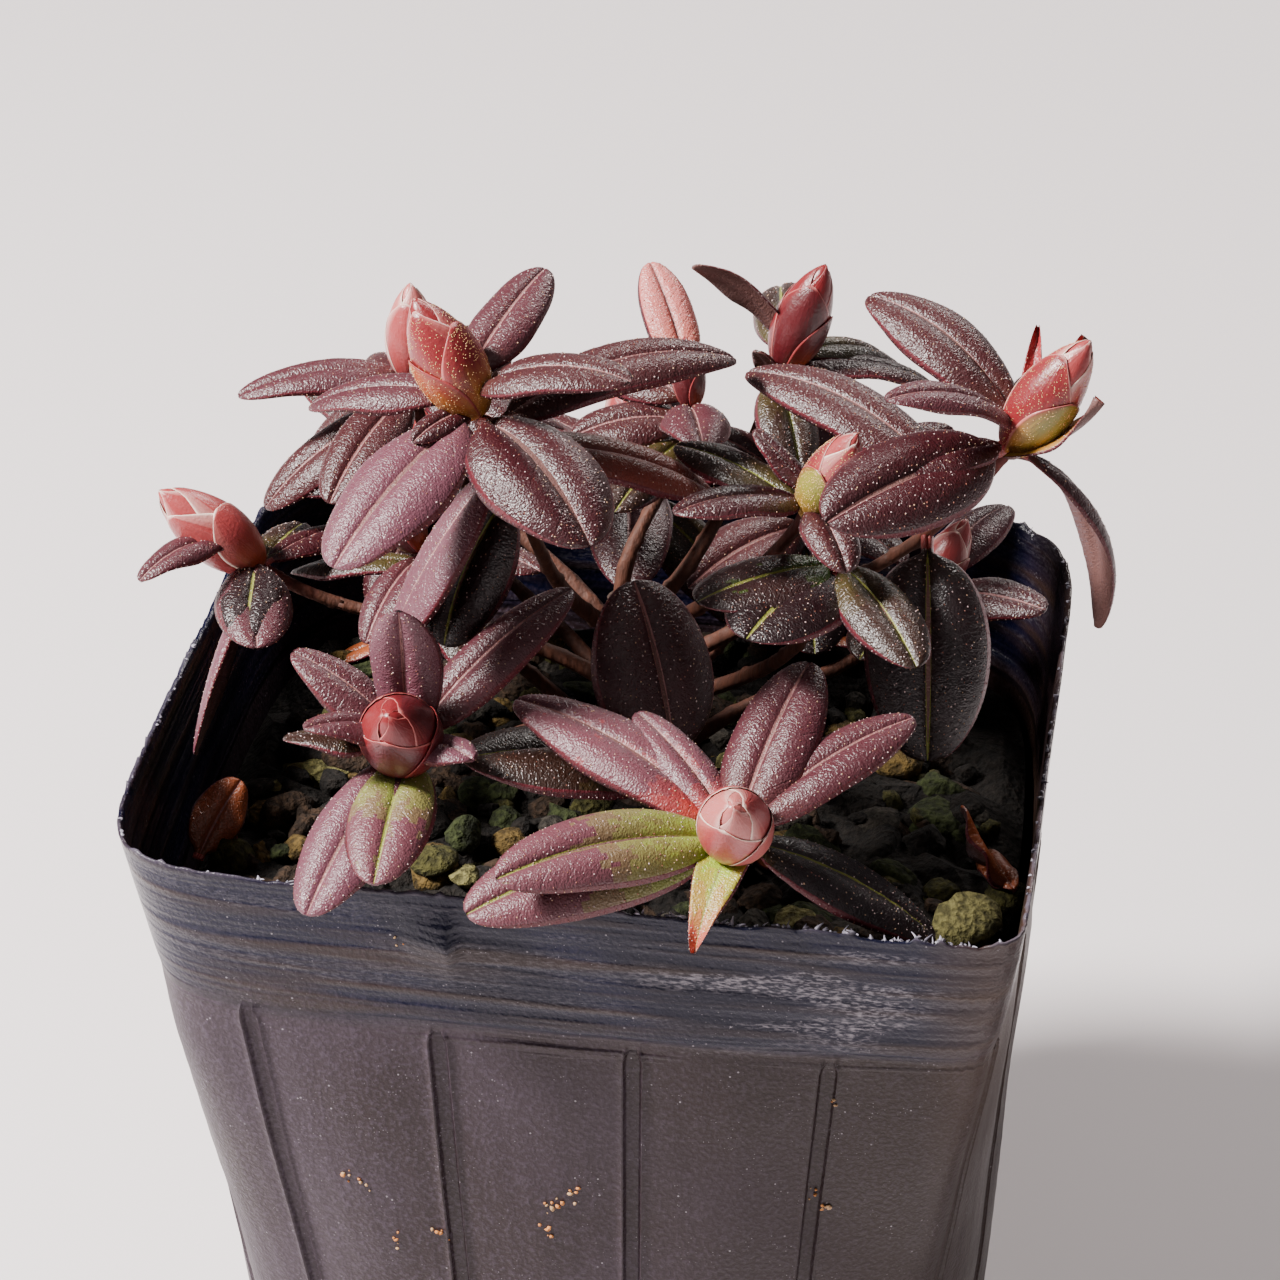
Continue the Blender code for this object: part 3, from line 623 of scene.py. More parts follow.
def joined_skins(name, skins):
    """One piece from many skins: rings, slots and, for leaves, places; each has its own cell of the map."""
    side = math.ceil(math.sqrt(len(skins)))
    scale = (1.0 - BAKE_MARGIN) / side
    total = 0
    parts = []
    for number, (rings, slots, *_) in enumerate(skins):
        points, quads, tris, slots = closed_skin(rings, slots)
        quad_map, tri_map = skin_map(*rings.shape[:2])
        if inside_out(points, quads, tris):
            quads = quads[:, ::-1]
            tris = tris[:, ::-1]
            quad_map = quad_map.reshape(-1, 4, 2)[:, ::-1].reshape(-1, 2)
            tri_map = tri_map.reshape(-1, 3, 2)[:, ::-1].reshape(-1, 2)
        cell = (np.array([number % side, number // side]) + BAKE_MARGIN / 2) / side
        split = np.split(slots, [len(quads)])
        maps = (quad_map * scale + cell, tri_map * scale + cell)
        parts.append((points, quads + total, tris + total, *split, *maps))
        total += len(points)
    points, quads, tris, *rest = (np.concatenate(part) for part in zip(*parts))
    slots = np.concatenate(rest[:2])
    maps = np.concatenate(rest[2:])
    places = [with_ends(place) for _, _, *given in skins for place in given]
    return mesh_piece(name, points, quads, tris, slots, maps, np.concatenate(places) if places else None)


def ring_frame(path):
    """Two level directions round a path: across the path and away from the axis that it follows least."""
    along = np.gradient(path, axis=0)
    along /= np.linalg.norm(along, axis=1)[:, None]
    pick = np.eye(3)[np.argmin(np.abs(path[-1] - path[0]))]
    side = np.cross(along, pick)
    side /= np.linalg.norm(side, axis=1)[:, None]
    return side, np.cross(along, side)


def angles_round(count):
    """Evenly spaced angles of a full turn."""
    return np.linspace(0.0, 2.0 * math.pi, count, endpoint=False)


def rings_round(path, radii, columns):
    """Rings round a path: centre + radius * (cosine * side + sine * other), with a radius for each point."""
    side, other = ring_frame(path)
    angle = angles_round(columns)
    radii = np.asarray(radii)
    if radii.ndim == 1:
        radii = radii[:, None]
    radii = np.broadcast_to(radii, (len(path), columns))[:, :, None]
    away = np.cos(angle)[None, :, None] * side[:, None, :] + np.sin(angle)[None, :, None] * other[:, None, :]
    return path[:, None, :] + radii * away


print("points of a skin with 8 rows of 11", len(with_ends(np.zeros((8, 11, 3)))))

# %% [markdown]
# Paints.  Foliage here is many small things joined into one piece, so a tint that has
# a place, such as a green leaf base or a pale scale margin, is a plain colour given to
# faces: every kind of leaf has a short ladder of mixed colours, and each face takes
# the step that its place on the leaf asks for.  An image or a painted gradient could
# do it too, but plain colours stay sharp at any distance.  The gloss and the wrinkles
# come from the nodes.

# %% Paint helpers
def new_paint(name, colour, roughness):
    """Principled paint; returns the material, its node tree and its shader."""
    paint = bpy.data.materials.new(name)
    paint.use_nodes = True
    tree = paint.node_tree
    shader = tree.nodes["Principled BSDF"]
    shader.inputs["Base Color"].default_value = (*colour, 1.0)
    shader.inputs["Roughness"].default_value = roughness
    return paint, tree, shader


def numbered(paint):
    """Add a paint to the shared list and return its number."""
    PAINTS.append(paint)
    return len(PAINTS) - 1


def plain_paint(name, colour, roughness):
    """Number of a new paint of one colour."""
    return numbered(new_paint(name, colour, roughness)[0])


def filled(tree, kind, inputs, data_type=None):
    """New shader node: an input that is given as a socket is linked, and any other is set."""
    node = tree.nodes.new(kind)
    if data_type:
        node.data_type = data_type
    for title, value in inputs.items():
        if isinstance(value, bpy.types.NodeSocket):
            tree.links.new(value, node.inputs[title])
        else:
            node.inputs[title].default_value = value
    return node


def stretched(tree, vector, scale):
    """A vector with each axis multiplied."""
    return filled(tree, "ShaderNodeMapping", {"Vector": vector, "Scale": scale}).outputs["Vector"]


def place_node(tree, scale=(1.0, 1.0, 1.0)):
    """Object coordinates in metres, stretched."""
    return stretched(tree, tree.nodes.new("ShaderNodeTexCoord").outputs["Object"], scale)


def axes_of(tree, vector):
    """The X, Y and Z of a vector, by name."""
    return filled(tree, "ShaderNodeSeparateXYZ", {"Vector": vector}).outputs


def noise_node(tree, vector, scale, detail=3.0, distortion=0.0):
    """Noise between 0 and 1."""
    inputs = {"Vector": vector, "Scale": scale, "Detail": detail, "Distortion": distortion}
    return filled(tree, "ShaderNodeTexNoise", inputs).outputs["Fac"]


def cells_node(tree, vector, scale):
    """Distance to the nearest of scattered points."""
    return filled(tree, "ShaderNodeTexVoronoi", {"Vector": vector, "Scale": scale}).outputs["Distance"]


def ranged(tree, value, low, high, new_low=0.0, new_high=1.0):
    """Stretch a value from one range to another, held at both ends."""
    inputs = {"Value": value, "From Min": low, "From Max": high, "To Min": new_low, "To Max": new_high}
    return filled(tree, "ShaderNodeMapRange", inputs).outputs["Result"]


def maths(tree, operation, first, second):
    """One Math node on two values, each a socket or a number."""
    node = filled(tree, "ShaderNodeMath", {0: first, 1: second})
    node.operation = operation
    return node.outputs["Value"]


def product(tree, first, *others):
    """Product of several values, each a socket or a number."""
    for other in others:
        first = maths(tree, "MULTIPLY", first, other)
    return first


def mixed(tree, factor, first, second):
    """Mix of two colours, each a socket or three numbers."""
    ends = [(*colour, 1.0) if isinstance(colour, tuple) else colour for colour in (first, second)]
    return filled(tree, "ShaderNodeMix", {0: factor, 6: ends[0], 7: ends[1]}, "RGBA").outputs[2]


def bumped(tree, shader, height, distance, strength=1.0):
    """Bump of a height in millimetres on a shader."""
    inputs = {"Height": height, "Distance": distance * MM, "Strength": strength}
    tree.links.new(filled(tree, "ShaderNodeBump", inputs).outputs["Normal"], shader.inputs["Normal"])


def blend_of(first, second, share):
    """Colour between two colours."""
    return tuple(a + (b - a) * share for a, b in zip(first, second))

# %% [markdown]
# Leaf paint.  The real leaf is leathery: a dark red-brown skin with a waxy bloom that
# turns lavender in the light, fine wrinkles between sunken veins, and small pale
# scales standing on it.  An even glossy red would look like plastic, so the wrinkles
# are a bump of cells and noise in the leaf's own coordinates, the bloom is a little
# sheen, and the scales are real little domes added further below.

# %% Leaf paints
LADDER = 6
BLOOM = (0.80, 0.68, 0.80, 1.0)
LEAF_GLOSS = 0.58
LEAF_BUMP = 0.075
LEAF_DULL = 0.30
DULL_RANGE = 0.12
GLOSS_PATCHES = 900.0

# Relief of the skin: ridges to a millimetre across and along, how much they wander,
# grains to a metre, shares of both, and depth and half width of the vein's groove
RIDGE_STRETCH = (2.3, 3.6, 0.0)
RIDGE_WANDER = 0.8
GRAIN_SCALE = 5200.0
RIDGE_SHARE = 1.4
GRAIN_SHARE = 0.6
VEIN_SINK = 0.28
VEIN_NEAR = 0.06

# Kind of leaf: colour at the tip, colour at the base, how far up the base colour
# reaches, colour of the midrib, waxy bloom
LEAF_KINDS = {
    "maroon": ((0.034, 0.0044, 0.0068), (0.060, 0.0085, 0.0085), 0.20, "pink", 0.01),
    # dark: nearly black leaves, partly real dark glossy leaves and partly painted shade for leaves deep in
    # the plant
    "dark": ((0.011, 0.0030, 0.0040), (0.024, 0.0095, 0.0050), 0.25, "lime", 0.00),
    "umber": ((0.045, 0.0088, 0.0104), (0.066, 0.0170, 0.0105), 0.30, "pink", 0.02),
    # mauve: partly painted sheen, a paler colour where the light catches the waxy bloom
    "mauve": ((0.064, 0.0140, 0.0200), (0.074, 0.0170, 0.0170), 0.35, "pink", 0.03),
    # This kind is a paler base colour that is painted sheen, for leaves that catch the light
    "silver": ((0.112, 0.0340, 0.0500), (0.085, 0.0260, 0.0320), 0.40, "pink", 0.05),
    "olive": ((0.022, 0.0080, 0.0048), (0.058, 0.0450, 0.0085), 0.55, "lime", 0.00),
    "rust": ((0.150, 0.020, 0.010), (0.055, 0.015, 0.012), 0.50, "pink", 0.02),
    "dark_green": ((0.022, 0.008, 0.008), (0.085, 0.210, 0.015), 0.34, "lime", 0.00),
    "mauve_green": ((0.112, 0.033, 0.044), (0.210, 0.290, 0.030), 0.62, "lime", 0.05),
    "mauve_red": ((0.108, 0.030, 0.042), (0.420, 0.024, 0.010), 0.36, "pink", 0.06),
    "bract_green": ((0.380, 0.070, 0.040), (0.230, 0.400, 0.022), 0.88, "lime", 0.00),
    "bract_gold": ((0.260, 0.040, 0.030), (0.400, 0.240, 0.026), 0.90, "lime", 0.00),
    "bract_red": ((0.300, 0.026, 0.030), (0.280, 0.040, 0.030), 0.50, "pink", 0.00),
    "pink": ((0.480, 0.130, 0.115), (0.420, 0.105, 0.070), 0.50, "pink", 0.03),
    "dead": ((0.240, 0.055, 0.016), (0.120, 0.034, 0.014), 0.60, "pink", 0.00),
}
RIB_COLOURS = {"pink": (0.260, 0.120, 0.115), "lime": (0.200, 0.210, 0.040)}
MARGIN_COLOUR = (0.090, 0.010, 0.016)
UNDERSIDE = (0.130, 0.062, 0.055)
STALK = (0.260, 0.050, 0.045)


def leaf_place(tree, stretch):
    """A leaf's own coordinates, stretched and plain: millimetres across and along, and a count of veins."""
    own = tree.nodes.new("ShaderNodeAttribute")
    own.attribute_name = "place"
    return stretched(tree, own.outputs["Vector"], stretch), own.outputs["Vector"]


def leaf_relief(tree):
    """Height of the skin: short ridges across the blade, a fine grain, and grooves at the side veins."""
    wide, own = leaf_place(tree, RIDGE_STRETCH)
    ridges = noise_node(tree, wide, 1.0, 2.0, RIDGE_WANDER)
    grain = cells_node(tree, place_node(tree), GRAIN_SCALE)
    from_vein = maths(tree, "PINGPONG", axes_of(tree, own)["Z"], 0.5)
    vein = ranged(tree, from_vein, 0.0, VEIN_NEAR, -VEIN_SINK, 0.0)
    height = maths(tree, "ADD", product(tree, ridges, RIDGE_SHARE), product(tree, grain, GRAIN_SHARE))
    return maths(tree, "ADD", height, vein)


def leaf_paint(name, colour, bloom, gloss):
    """Leathery skin: its relief as a bump, gloss that varies in patches, a faint waxy bloom."""
    paint, tree, shader = new_paint(name, colour, LEAF_DULL)
    bumped(tree, shader, leaf_relief(tree), LEAF_BUMP, 1.0)
    dull = LEAF_DULL + bloom
    patches = noise_node(tree, place_node(tree), GLOSS_PATCHES)
    tree.links.new(ranged(tree, patches, 0.3, 0.7, dull, dull + DULL_RANGE), shader.inputs["Roughness"])
    shader.inputs["Specular IOR Level"].default_value = gloss
    shader.inputs["Sheen Weight"].default_value = bloom
    shader.inputs["Sheen Roughness"].default_value = 0.35
    shader.inputs["Sheen Tint"].default_value = BLOOM
    return numbered(paint)


LEAF_PAINTS = {}
for kind, (tip, base, _, _, bloom) in LEAF_KINDS.items():
    LEAF_PAINTS[kind] = [
        leaf_paint("leaf_%s_%d" % (kind, step), blend_of(tip, base, step / (LADDER - 1)), bloom, LEAF_GLOSS)
        for step in range(LADDER)
    ]
UNDER_PAINT = leaf_paint("leaf_underside", UNDERSIDE, 0.10, 0.30)
STALK_PAINT = leaf_paint("leaf_stalk", STALK, 0.05, 0.45)
MARGIN_PAINT = leaf_paint("leaf_margin", MARGIN_COLOUR, 0.05, 0.45)
RIB_PAINTS = {
    name: leaf_paint("leaf_rib_" + name, colour, 0.05, 0.40)
    for name, colour in RIB_COLOURS.items()
}
print("leaf paints", len(PAINTS))

# %% [markdown]
# The leaf blade.  A real blade is not flat: its midrib is sunk, each half swells, the
# margins turn down, veins draw fine grooves and the skin between them is puckered.  A
# flat card with a picture would lose all of this at the edge, so the blade is a
# surface of two parameters, along the midrib and across it, with a height for each of
# those forms.  First come the uneven patterns that such a surface needs: numbers that
# look random but come out the same at each run.

# %% Patterns of the skin
PUCKER_SIZE = 0.85
FAR = 9.0


def scattered(cell, salt):
    """Repeatable number between 0 and 1 for each whole-number cell, from a folded sine."""
    value = np.sin(cell[..., 0] * 12.9898 + cell[..., 1] * 78.233 + salt * 37.719) * 43758.5453
    return value - np.floor(value)


def puckers(along, across, salt):
    """Domes round scattered points: one less the squared distance to the nearest point of a jittered grid."""
    spot = np.stack([along, across], axis=-1) / PUCKER_SIZE
    cell = np.floor(spot)
    nearest = np.full(along.shape, FAR)
    for right in (-1.0, 0.0, 1.0):
        for up in (-1.0, 0.0, 1.0):
            other = cell + (right, up)
            jitter = np.stack([scattered(other, salt), scattered(other, salt + 1.7)], axis=-1)
            nearest = np.minimum(nearest, ((spot - other - jitter) ** 2).sum(axis=-1))
    return 1.0 - np.minimum(nearest * 1.6, 1.0)


def soft_noise(along, across, salt):
    """Smooth unevenness between -1 and 1: three sine products with seeded phases."""
    total = np.zeros(np.shape(along))
    for step, (first, second) in enumerate(((0.9, 1.3), (1.7, -1.1), (2.9, 2.3))):
        waves = np.sin(along * first + salt * 5.1 + step)
        total = total + waves * np.cos(across * second + salt * 3.3 - step)
    return total / 3.0


sample = puckers(np.linspace(0.0, 9.0, 60), np.zeros(60), 2.0)
print("puckers from", round(sample.min(), 2), "to", round(sample.max(), 2))

# %% [markdown]
# The blade itself.  Its upper skin has all the fine forms, and the lower skin is the
# same surface without them but with the midrib standing out, so the leaf is right
# from below too.  Both are one formula with a switch, and not two, so that they keep
# together at the margin.

# %% Leaf blades
HALF_COLUMNS = (0.045, 0.10, 0.17, 0.25, 0.33, 0.41, 0.50, 0.59, 0.68, 0.77, 0.86, 0.935, 1.0)
TOP = np.array([-place for place in HALF_COLUMNS[::-1]] + [0.0] + list(HALF_COLUMNS))
LOWER_COLUMNS = 6
TOP_RIB = 0.04
TOP_MARGIN = 0.95
ROW_SPACING = 0.36
SKIN_THICK = 0.34
HALF_SWELL = 0.075
GROOVE_DEPTH = 0.14
GROOVE_WIDTH = 0.20
VEIN_DEPTH = 0.04
VEIN_WIDTH = 0.30
VEIN_COUNT = 8.0
VEIN_SLANT = 0.85
VEIN_CURVE = 0.05
PUCKER = 0.08
MARGIN_ROLL = 0.30
ROLL_START = 0.86
BRACT_CUP = 0.9
BRACT_FULLNESS = 0.85
BRACT_LEAST = 0.12
SKIN_EDGE = 0.7
WAVES = 1.6
STALK_REACH = 0.07
STALK_RAISE = 0.25
STALK_DEPTH = 0.35
KEEL_DEPTH = 0.22
KEEL_WIDTH = 0.35
PATTERN_STEP = 40.0
STALK_PART = 0.085
FIRST_PART = 0.015
PART_REACH = 0.982
CROWDED = 0.4
ROWS_LEAST = 10


def blade_frame(leaf, part):
    """Midrib, sideways and upward vectors at parts of the length, with a seeded twist and sway."""
    _, turn, rise, length, _, bend, roll = leaf["row"]
    midrib, slope = leaf_midrib(leaf["base"], turn, rise, length, bend, part)
    side, lift = leaf_frame(turn, slope, roll)
    angle = np.radians(leaf["twist"] * part)[:, None]
    turned = np.cos(angle) * side + np.sin(angle) * lift
    lifted = np.cos(angle) * lift - np.sin(angle) * side
    sway = leaf["sway"] * length * np.sin(math.pi * part)
    return midrib + side * sway[:, None], turned, lifted


def blade_half(leaf, part):
    """Half width: the solid's outline, or for a bract one that is widest at its foot."""
    width = leaf["row"][4]
    if leaf["stalked"]:
        return leaf_half_width(part, width)
    taper = np.clip(1.0 - np.asarray(part) ** 1.6, 0.0, 1.0) ** 0.8
    return width / 2.0 * taper * BRACT_FULLNESS + BRACT_LEAST


def vein_count(leaf, run, aside):
    """Number of side veins passed: distance along less a slant of the distance aside, over their spacing."""
    passed = run - VEIN_SLANT * aside - VEIN_CURVE * aside ** 2
    return passed * VEIN_COUNT / leaf["row"][3] + leaf["phase"]


def blade_place(leaf, part, across):
    """The leaf's own coordinates: distance aside with a step for each leaf, distance along, veins passed."""
    aside = across * blade_half(leaf, part)
    run = part * leaf["row"][3] + 0.0 * across
    veins = vein_count(leaf, run, np.abs(aside))
    return np.stack([aside + PATTERN_STEP * leaf["salt"], run, veins], axis=-1)


def blade_height(leaf, part, off, across, body):
    """Main form: arch across + swell of each half - rolled margin + wave of the margin."""
    width = leaf["row"][4]
    height = -width * LEAF_ARCH * body * off ** 2
    halves = np.clip(body, 0.0, 1.0) ** 0.6 * (1.0 - (2.0 * off - 1.0) ** 2)
    height += width * HALF_SWELL * halves * leaf["swell"]
    height -= MARGIN_ROLL * np.clip((off - ROLL_START) / (1.0 - ROLL_START), 0.0, 1.0) ** 2 * body
    wave = np.sin(2.0 * math.pi * (WAVES * part + leaf["phase"]) + 1.3 * np.sign(across))
    return height + leaf["wave"] * off ** 3 * wave * body


def upper_relief(leaf, part, off, across, body, half):
    """Upper skin over the main form: half its thickness + stalk - midrib's groove - veins + puckers."""
    length = leaf["row"][3]
    run = part * length
    aside = off * half
    height = -GROOVE_DEPTH * leaf["stalked"] * np.exp(-(aside / GROOVE_WIDTH) ** 2)
    vein = vein_count(leaf, run, aside)
    gap = np.abs(vein - np.round(vein)) * length / VEIN_COUNT
    inner = np.clip(1.0 - off, 0.0, 1.0) ** 0.5 * np.clip(body, 0.0, 1.0)
    height -= VEIN_DEPTH * np.exp(-(gap / VEIN_WIDTH) ** 2) * inner
    swelled = puckers(run + 0.3 * np.sign(across), across * half, leaf["salt"])
    height += PUCKER * swelled * np.clip(body * 1.5, 0.0, 1.0) * leaf["pucker"]
    stalk = np.exp(-(part / STALK_REACH) ** 2)
    return height + SKIN_THICK / 2.0 * (1.0 - SKIN_EDGE * off ** 2) + STALK_RAISE * stalk * (1.0 - off ** 2)


def lower_relief(part, off, half):
    """Lower skin under the main form: half its thickness, the midrib's keel and the stalk, all downwards."""
    keel = KEEL_DEPTH * np.exp(-(off * half / KEEL_WIDTH) ** 2) * np.clip(1.2 - part, 0.0, 1.0)
    stalk = STALK_DEPTH * np.exp(-(part / STALK_REACH) ** 2) * (1.0 - off ** 2)
    return -SKIN_THICK / 2.0 * (1.0 - SKIN_EDGE * off ** 2) - keel - stalk


def blade_point(leaf, part, across, fine):
    """Surface point: midrib + side * half width * across + lift * (main form + relief of the skin)."""
    shape = np.broadcast(part, across).shape
    part = np.broadcast_to(part, shape).ravel()
    across = np.broadcast_to(across, shape).ravel()
    midrib, side, lift = blade_frame(leaf, part)
    half = blade_half(leaf, part)
    off = np.abs(across)
    body = np.sin(math.pi * np.clip(part, 0.0, 1.0))
    height = blade_height(leaf, part, off, across, body)
    height += upper_relief(leaf, part, off, across, body, half) if fine else lower_relief(part, off, half)
    height -= BRACT_CUP * (1.0 - leaf["stalked"]) * (1.0 - off ** 2)
    point = midrib + side * (half * across)[:, None] + lift * height[:, None]
    return point.reshape(*shape, 3)


def blade_share(leaf, part, across, reach):
    """How much of the base colour a place has: most at the base and along the midrib, uneven by noise."""
    _, _, _, length, width, _, _ = leaf["row"]
    noise = soft_noise(part * length, across * width, leaf["salt"])
    share = np.clip((reach - part) / reach, 0.0, 1.0) ** 0.8
    rib = 0.35 * np.exp(-(across * width) ** 2) * np.clip(1.0 - part, 0.0, 1.0)
    return np.clip(share + rib * (reach > 0.3) + 0.16 * noise, 0.0, 1.0)


def blade_rows(length):
    """Parts of the length where the rings lie, closer together at both ends."""
    even = np.linspace(0.0, 1.0, max(ROWS_LEAST, int(length / ROW_SPACING)))
    eased = (1.0 - np.cos(math.pi * even)) / 2.0
    return FIRST_PART + ((1.0 - CROWDED) * even + CROWDED * eased) * PART_REACH


def blade_paints(leaf, part):
    """Paint of each upper face: a step of the leaf's ladder, then midrib, margin and stalk over it."""
    kind = leaf["kind"]
    middle = (part[:-1] + part[1:]) / 2.0
    centre = (TOP[:-1] + TOP[1:]) / 2.0
    share = blade_share(leaf, middle[:, None], centre[None, :], LEAF_KINDS[kind][2])
    paints = np.array(LEAF_PAINTS[kind])[np.round(share * (LADDER - 1)).astype(int)]
    paints[:, np.abs(centre) < TOP_RIB] = RIB_PAINTS[LEAF_KINDS[kind][3]]
    paints[:, np.abs(centre) > TOP_MARGIN] = MARGIN_PAINT
    if leaf["stalked"]:
        paints[middle < STALK_PART] = STALK_PAINT
    return paints


def blade_skin(leaf):
    """Rings of the upper skin from margin to margin and back along the lower one, paints and places."""
    part = blade_rows(leaf["row"][3])
    low = np.linspace(1.0, -1.0, LOWER_COLUMNS + 2)[1:-1]
    upper = blade_point(leaf, part[:, None], TOP[None, :], True)
    lower = blade_point(leaf, part[:, None], low[None, :], False)
    places = blade_place(leaf, part[:, None], np.concatenate([TOP, low])[None, :])
    slots = np.full((len(part) + 1, len(TOP) + LOWER_COLUMNS), UNDER_PAINT)
    slots[1:-1, :len(TOP) - 1] = blade_paints(leaf, part)
    slots[0] = STALK_PAINT
    slots[-1] = LEAF_PAINTS[leaf["kind"]][0]
    return np.concatenate([upper, lower], axis=1), slots, places


print("points round a blade", len(TOP) + LOWER_COLUMNS)

# %% [markdown]
# Which leaf is which.  Each leaf that is placed one by one names its colouring: most are
# mauve, partly painted sheen where the light catches the bloom, the paler silver ones
# are painted sheen, those deep in the plant are nearly black, partly painted shade, and
# some have a green foot or a red edge.  The rule's leaves draw theirs.  A leaf could
# carry one colour of its own, but the change from foot to tip is what makes the
# whorls readable.

# %% Build the leaves
NAMED_KINDS = {
    "left_top": "mauve silver silver maroon umber umber mauve dark rust",
    "left_back": "umber umber",
    "left_low": "mauve silver mauve olive",
    "front_left": "silver mauve mauve mauve silver mauve_green silver",
    "front": "mauve mauve mauve_red mauve_red mauve_green mauve_green bract_green dark",
    "right_front": "maroon maroon umber olive",
    "right_top": "umber mauve maroon maroon bract_red bract_red bract_gold umber dark",
    "back_top": "mauve olive olive",
    "middle_top": "pink",
    "middle": "dark_green dark olive",
    "middle_low": "maroon olive",
}
# The rule's leaves draw these kinds, so painted shade (dark) and painted sheen (mauve) fall among them too
RULE_KINDS = ("maroon", "umber", "olive", "maroon", "mauve", "dark")
PUCKERED = {"dark": 1.0, "dark_green": 1.0, "olive": 0.7, "maroon": 0.6}
PUCKERED_LEAST = 0.35
BRACT_SWELL = 0.15
LOOK_SEED = 31

# Small corrections: length and width as shares of the solid's, and extra roll
LEAF_TRIMS = {
    ("left_top", 10): (0.45, 0.5, 0.0),
    ("front", 4): (1.0, 1.12, -24.0),
    ("front", 5): (1.0, 1.12, -26.0),
    ("front", 6): (1.35, 1.9, 0.0),
    ("right_top", 6): (1.05, 1.7, 0.0),
    ("back_top", 0): (1.0, 0.7, 0.0),
    ("back_top", 2): (0.6, 0.8, 0.0),
}
UNTRIMMED = (1.0, 1.0, 0.0)


def leaf_look(row, base, kind, named, trim, chance):
    """Everything one leaf needs: its sizes, colouring and small seeded differences."""
    turn_range = 4.0 if named else 14.0
    bract = kind.startswith("bract")
    up, turn, rise, length, width, bend, roll = row
    row = (up, turn, rise, length * trim[0], width * trim[1], bend, roll + trim[2])
    return {
        "row": row,
        "base": base,
        "kind": kind,
        "twist": chance.uniform(-turn_range, turn_range),
        "sway": chance.uniform(-0.012, 0.012),
        "swell": chance.uniform(0.8, 1.4) * (BRACT_SWELL if bract else 1.0),
        "wave": chance.uniform(0.05, 0.28),
        "phase": chance.uniform(0.0, 1.0),
        "salt": chance.uniform(1.0, 9.0),
        "pucker": chance.uniform(0.7, 1.3) * PUCKERED.get(kind, PUCKERED_LEAST),
        "stalked": not bract,
    }


def dressed_leaves():
    """Looks of all leaves, by shoot."""
    chance = random.Random(LOOK_SEED)
    dressed = {}
    for shoot, leaves in GROWN.items():
        named = NAMED_KINDS.get(shoot, "").split()
        looks = []
        for number, (base, row) in enumerate(leaves):
            by_hand = number < len(named)
            kind = named[number] if by_hand else chance.choice(RULE_KINDS)
            trim = LEAF_TRIMS.get((shoot, number), UNTRIMMED)
            looks.append(leaf_look(row, base, kind, by_hand, trim, chance))
        dressed[shoot] = looks
    return dressed


looks = dressed_leaves()
for shoot, leaves in looks.items():
    piece = joined_skins("leaves_" + shoot, [blade_skin(leaf) for leaf in leaves])
    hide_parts("mass_" + shoot)
print("leaves", sum(len(leaves) for leaves in looks.values()))

# %% [markdown]
# The scales on the leaves.  The species is lepidote: tiny round scales, pale gold when
# they catch the light, stand all over the blade and fringe its edge.  They are the
# grain that the eye reads as the leaf's sparkle.  A bump could suggest them, but only
# real domes glint one by one, so each is a dome of a few faces, and all the domes of a
# shoot are one array.

# %% Leaf scales
DOT_SPACING = 0.74
DOT_SIDES = 5
DOT_SIZES = (0.050, 0.092)
DOT_SHARE = 0.88
DOT_RISE = 0.9
DOT_SINK = 0.8
DOT_CLEAR = 0.93
FRINGE_SPACING = 0.75
FRINGE_SIZE = 0.75
FRINGE_PLACE = 0.985
SLOPE_STEP = (0.004, 0.02)


def dot_spots(leaf, chance):
    """Jittered places over the blade, in parts of its length and width, then a row along each margin."""
    _, _, _, length, width, _, _ = leaf["row"]
    along = np.arange(0.1 * length, 0.97 * length, DOT_SPACING)
    aside = np.arange(-0.5, 0.5, DOT_SPACING / max(width, 1.0))
    grid = np.stack(np.meshgrid(along / length, aside * 2.0, indexing="ij"), axis=-1).reshape(-1, 2)
    grid = grid + chance.uniform(-0.5, 0.5, grid.shape) * (DOT_SPACING / length, 2.0 * DOT_SPACING / width)
    keep = (np.abs(grid[:, 1]) < DOT_CLEAR) & (chance.random(len(grid)) < DOT_SHARE)
    grid = grid[keep]
    fringe = np.arange(0.14 * length, length, FRINGE_SPACING) / length
    fringe = fringe + chance.uniform(-0.3, 0.3, len(fringe)) * FRINGE_SPACING / length
    edges = [np.stack([fringe, np.full(len(fringe), side * FRINGE_PLACE)], axis=1) for side in (-1.0, 1.0)]
    spots = np.clip(np.concatenate([grid, *edges]), (0.05, -1.0), (0.985, 1.0))
    return spots, np.where(np.arange(len(spots)) < len(grid), 1.0, FRINGE_SIZE)


def dot_domes(leaf, chance):
    """Domes of one leaf, each standing on the blade's upper skin."""
    spots, sizes = dot_spots(leaf, chance)
    part, across = spots[:, 0], spots[:, 1]
    point = blade_point(leaf, part, across, True)
    on, off = SLOPE_STEP
    along = blade_point(leaf, np.clip(part + on, 0.0, 1.0), across, False)
    along = along - blade_point(leaf, part - on, across, False)
    aside = blade_point(leaf, part, across + off, False) - blade_point(leaf, part, across - off, False)
    normal = np.cross(along, aside)
    normal *= np.sign((normal * blade_frame(leaf, part)[2]).sum(axis=1))[:, None]
    return domes_at(point, along, aside, normal, chance.uniform(*DOT_SIZES, len(spots)) * sizes)


def domes_at(point, along, aside, normal, radius):
    """Five-sided domes on a surface: a ring on it, a raised middle and a lower middle."""
    along, aside, normal = (way / np.linalg.norm(way, axis=1)[:, None] for way in (along, aside, normal))
    radius = radius[:, None]
    angle = angles_round(DOT_SIDES)
    around = np.cos(angle)[None, :, None] * along[:, None] + np.sin(angle)[None, :, None] * aside[:, None]
    ring = point[:, None] + around * radius[:, None]
    top = point + normal * radius * DOT_RISE
    low = point - normal * radius * DOT_SINK
    return np.concatenate([ring, top[:, None], low[:, None]], axis=1)


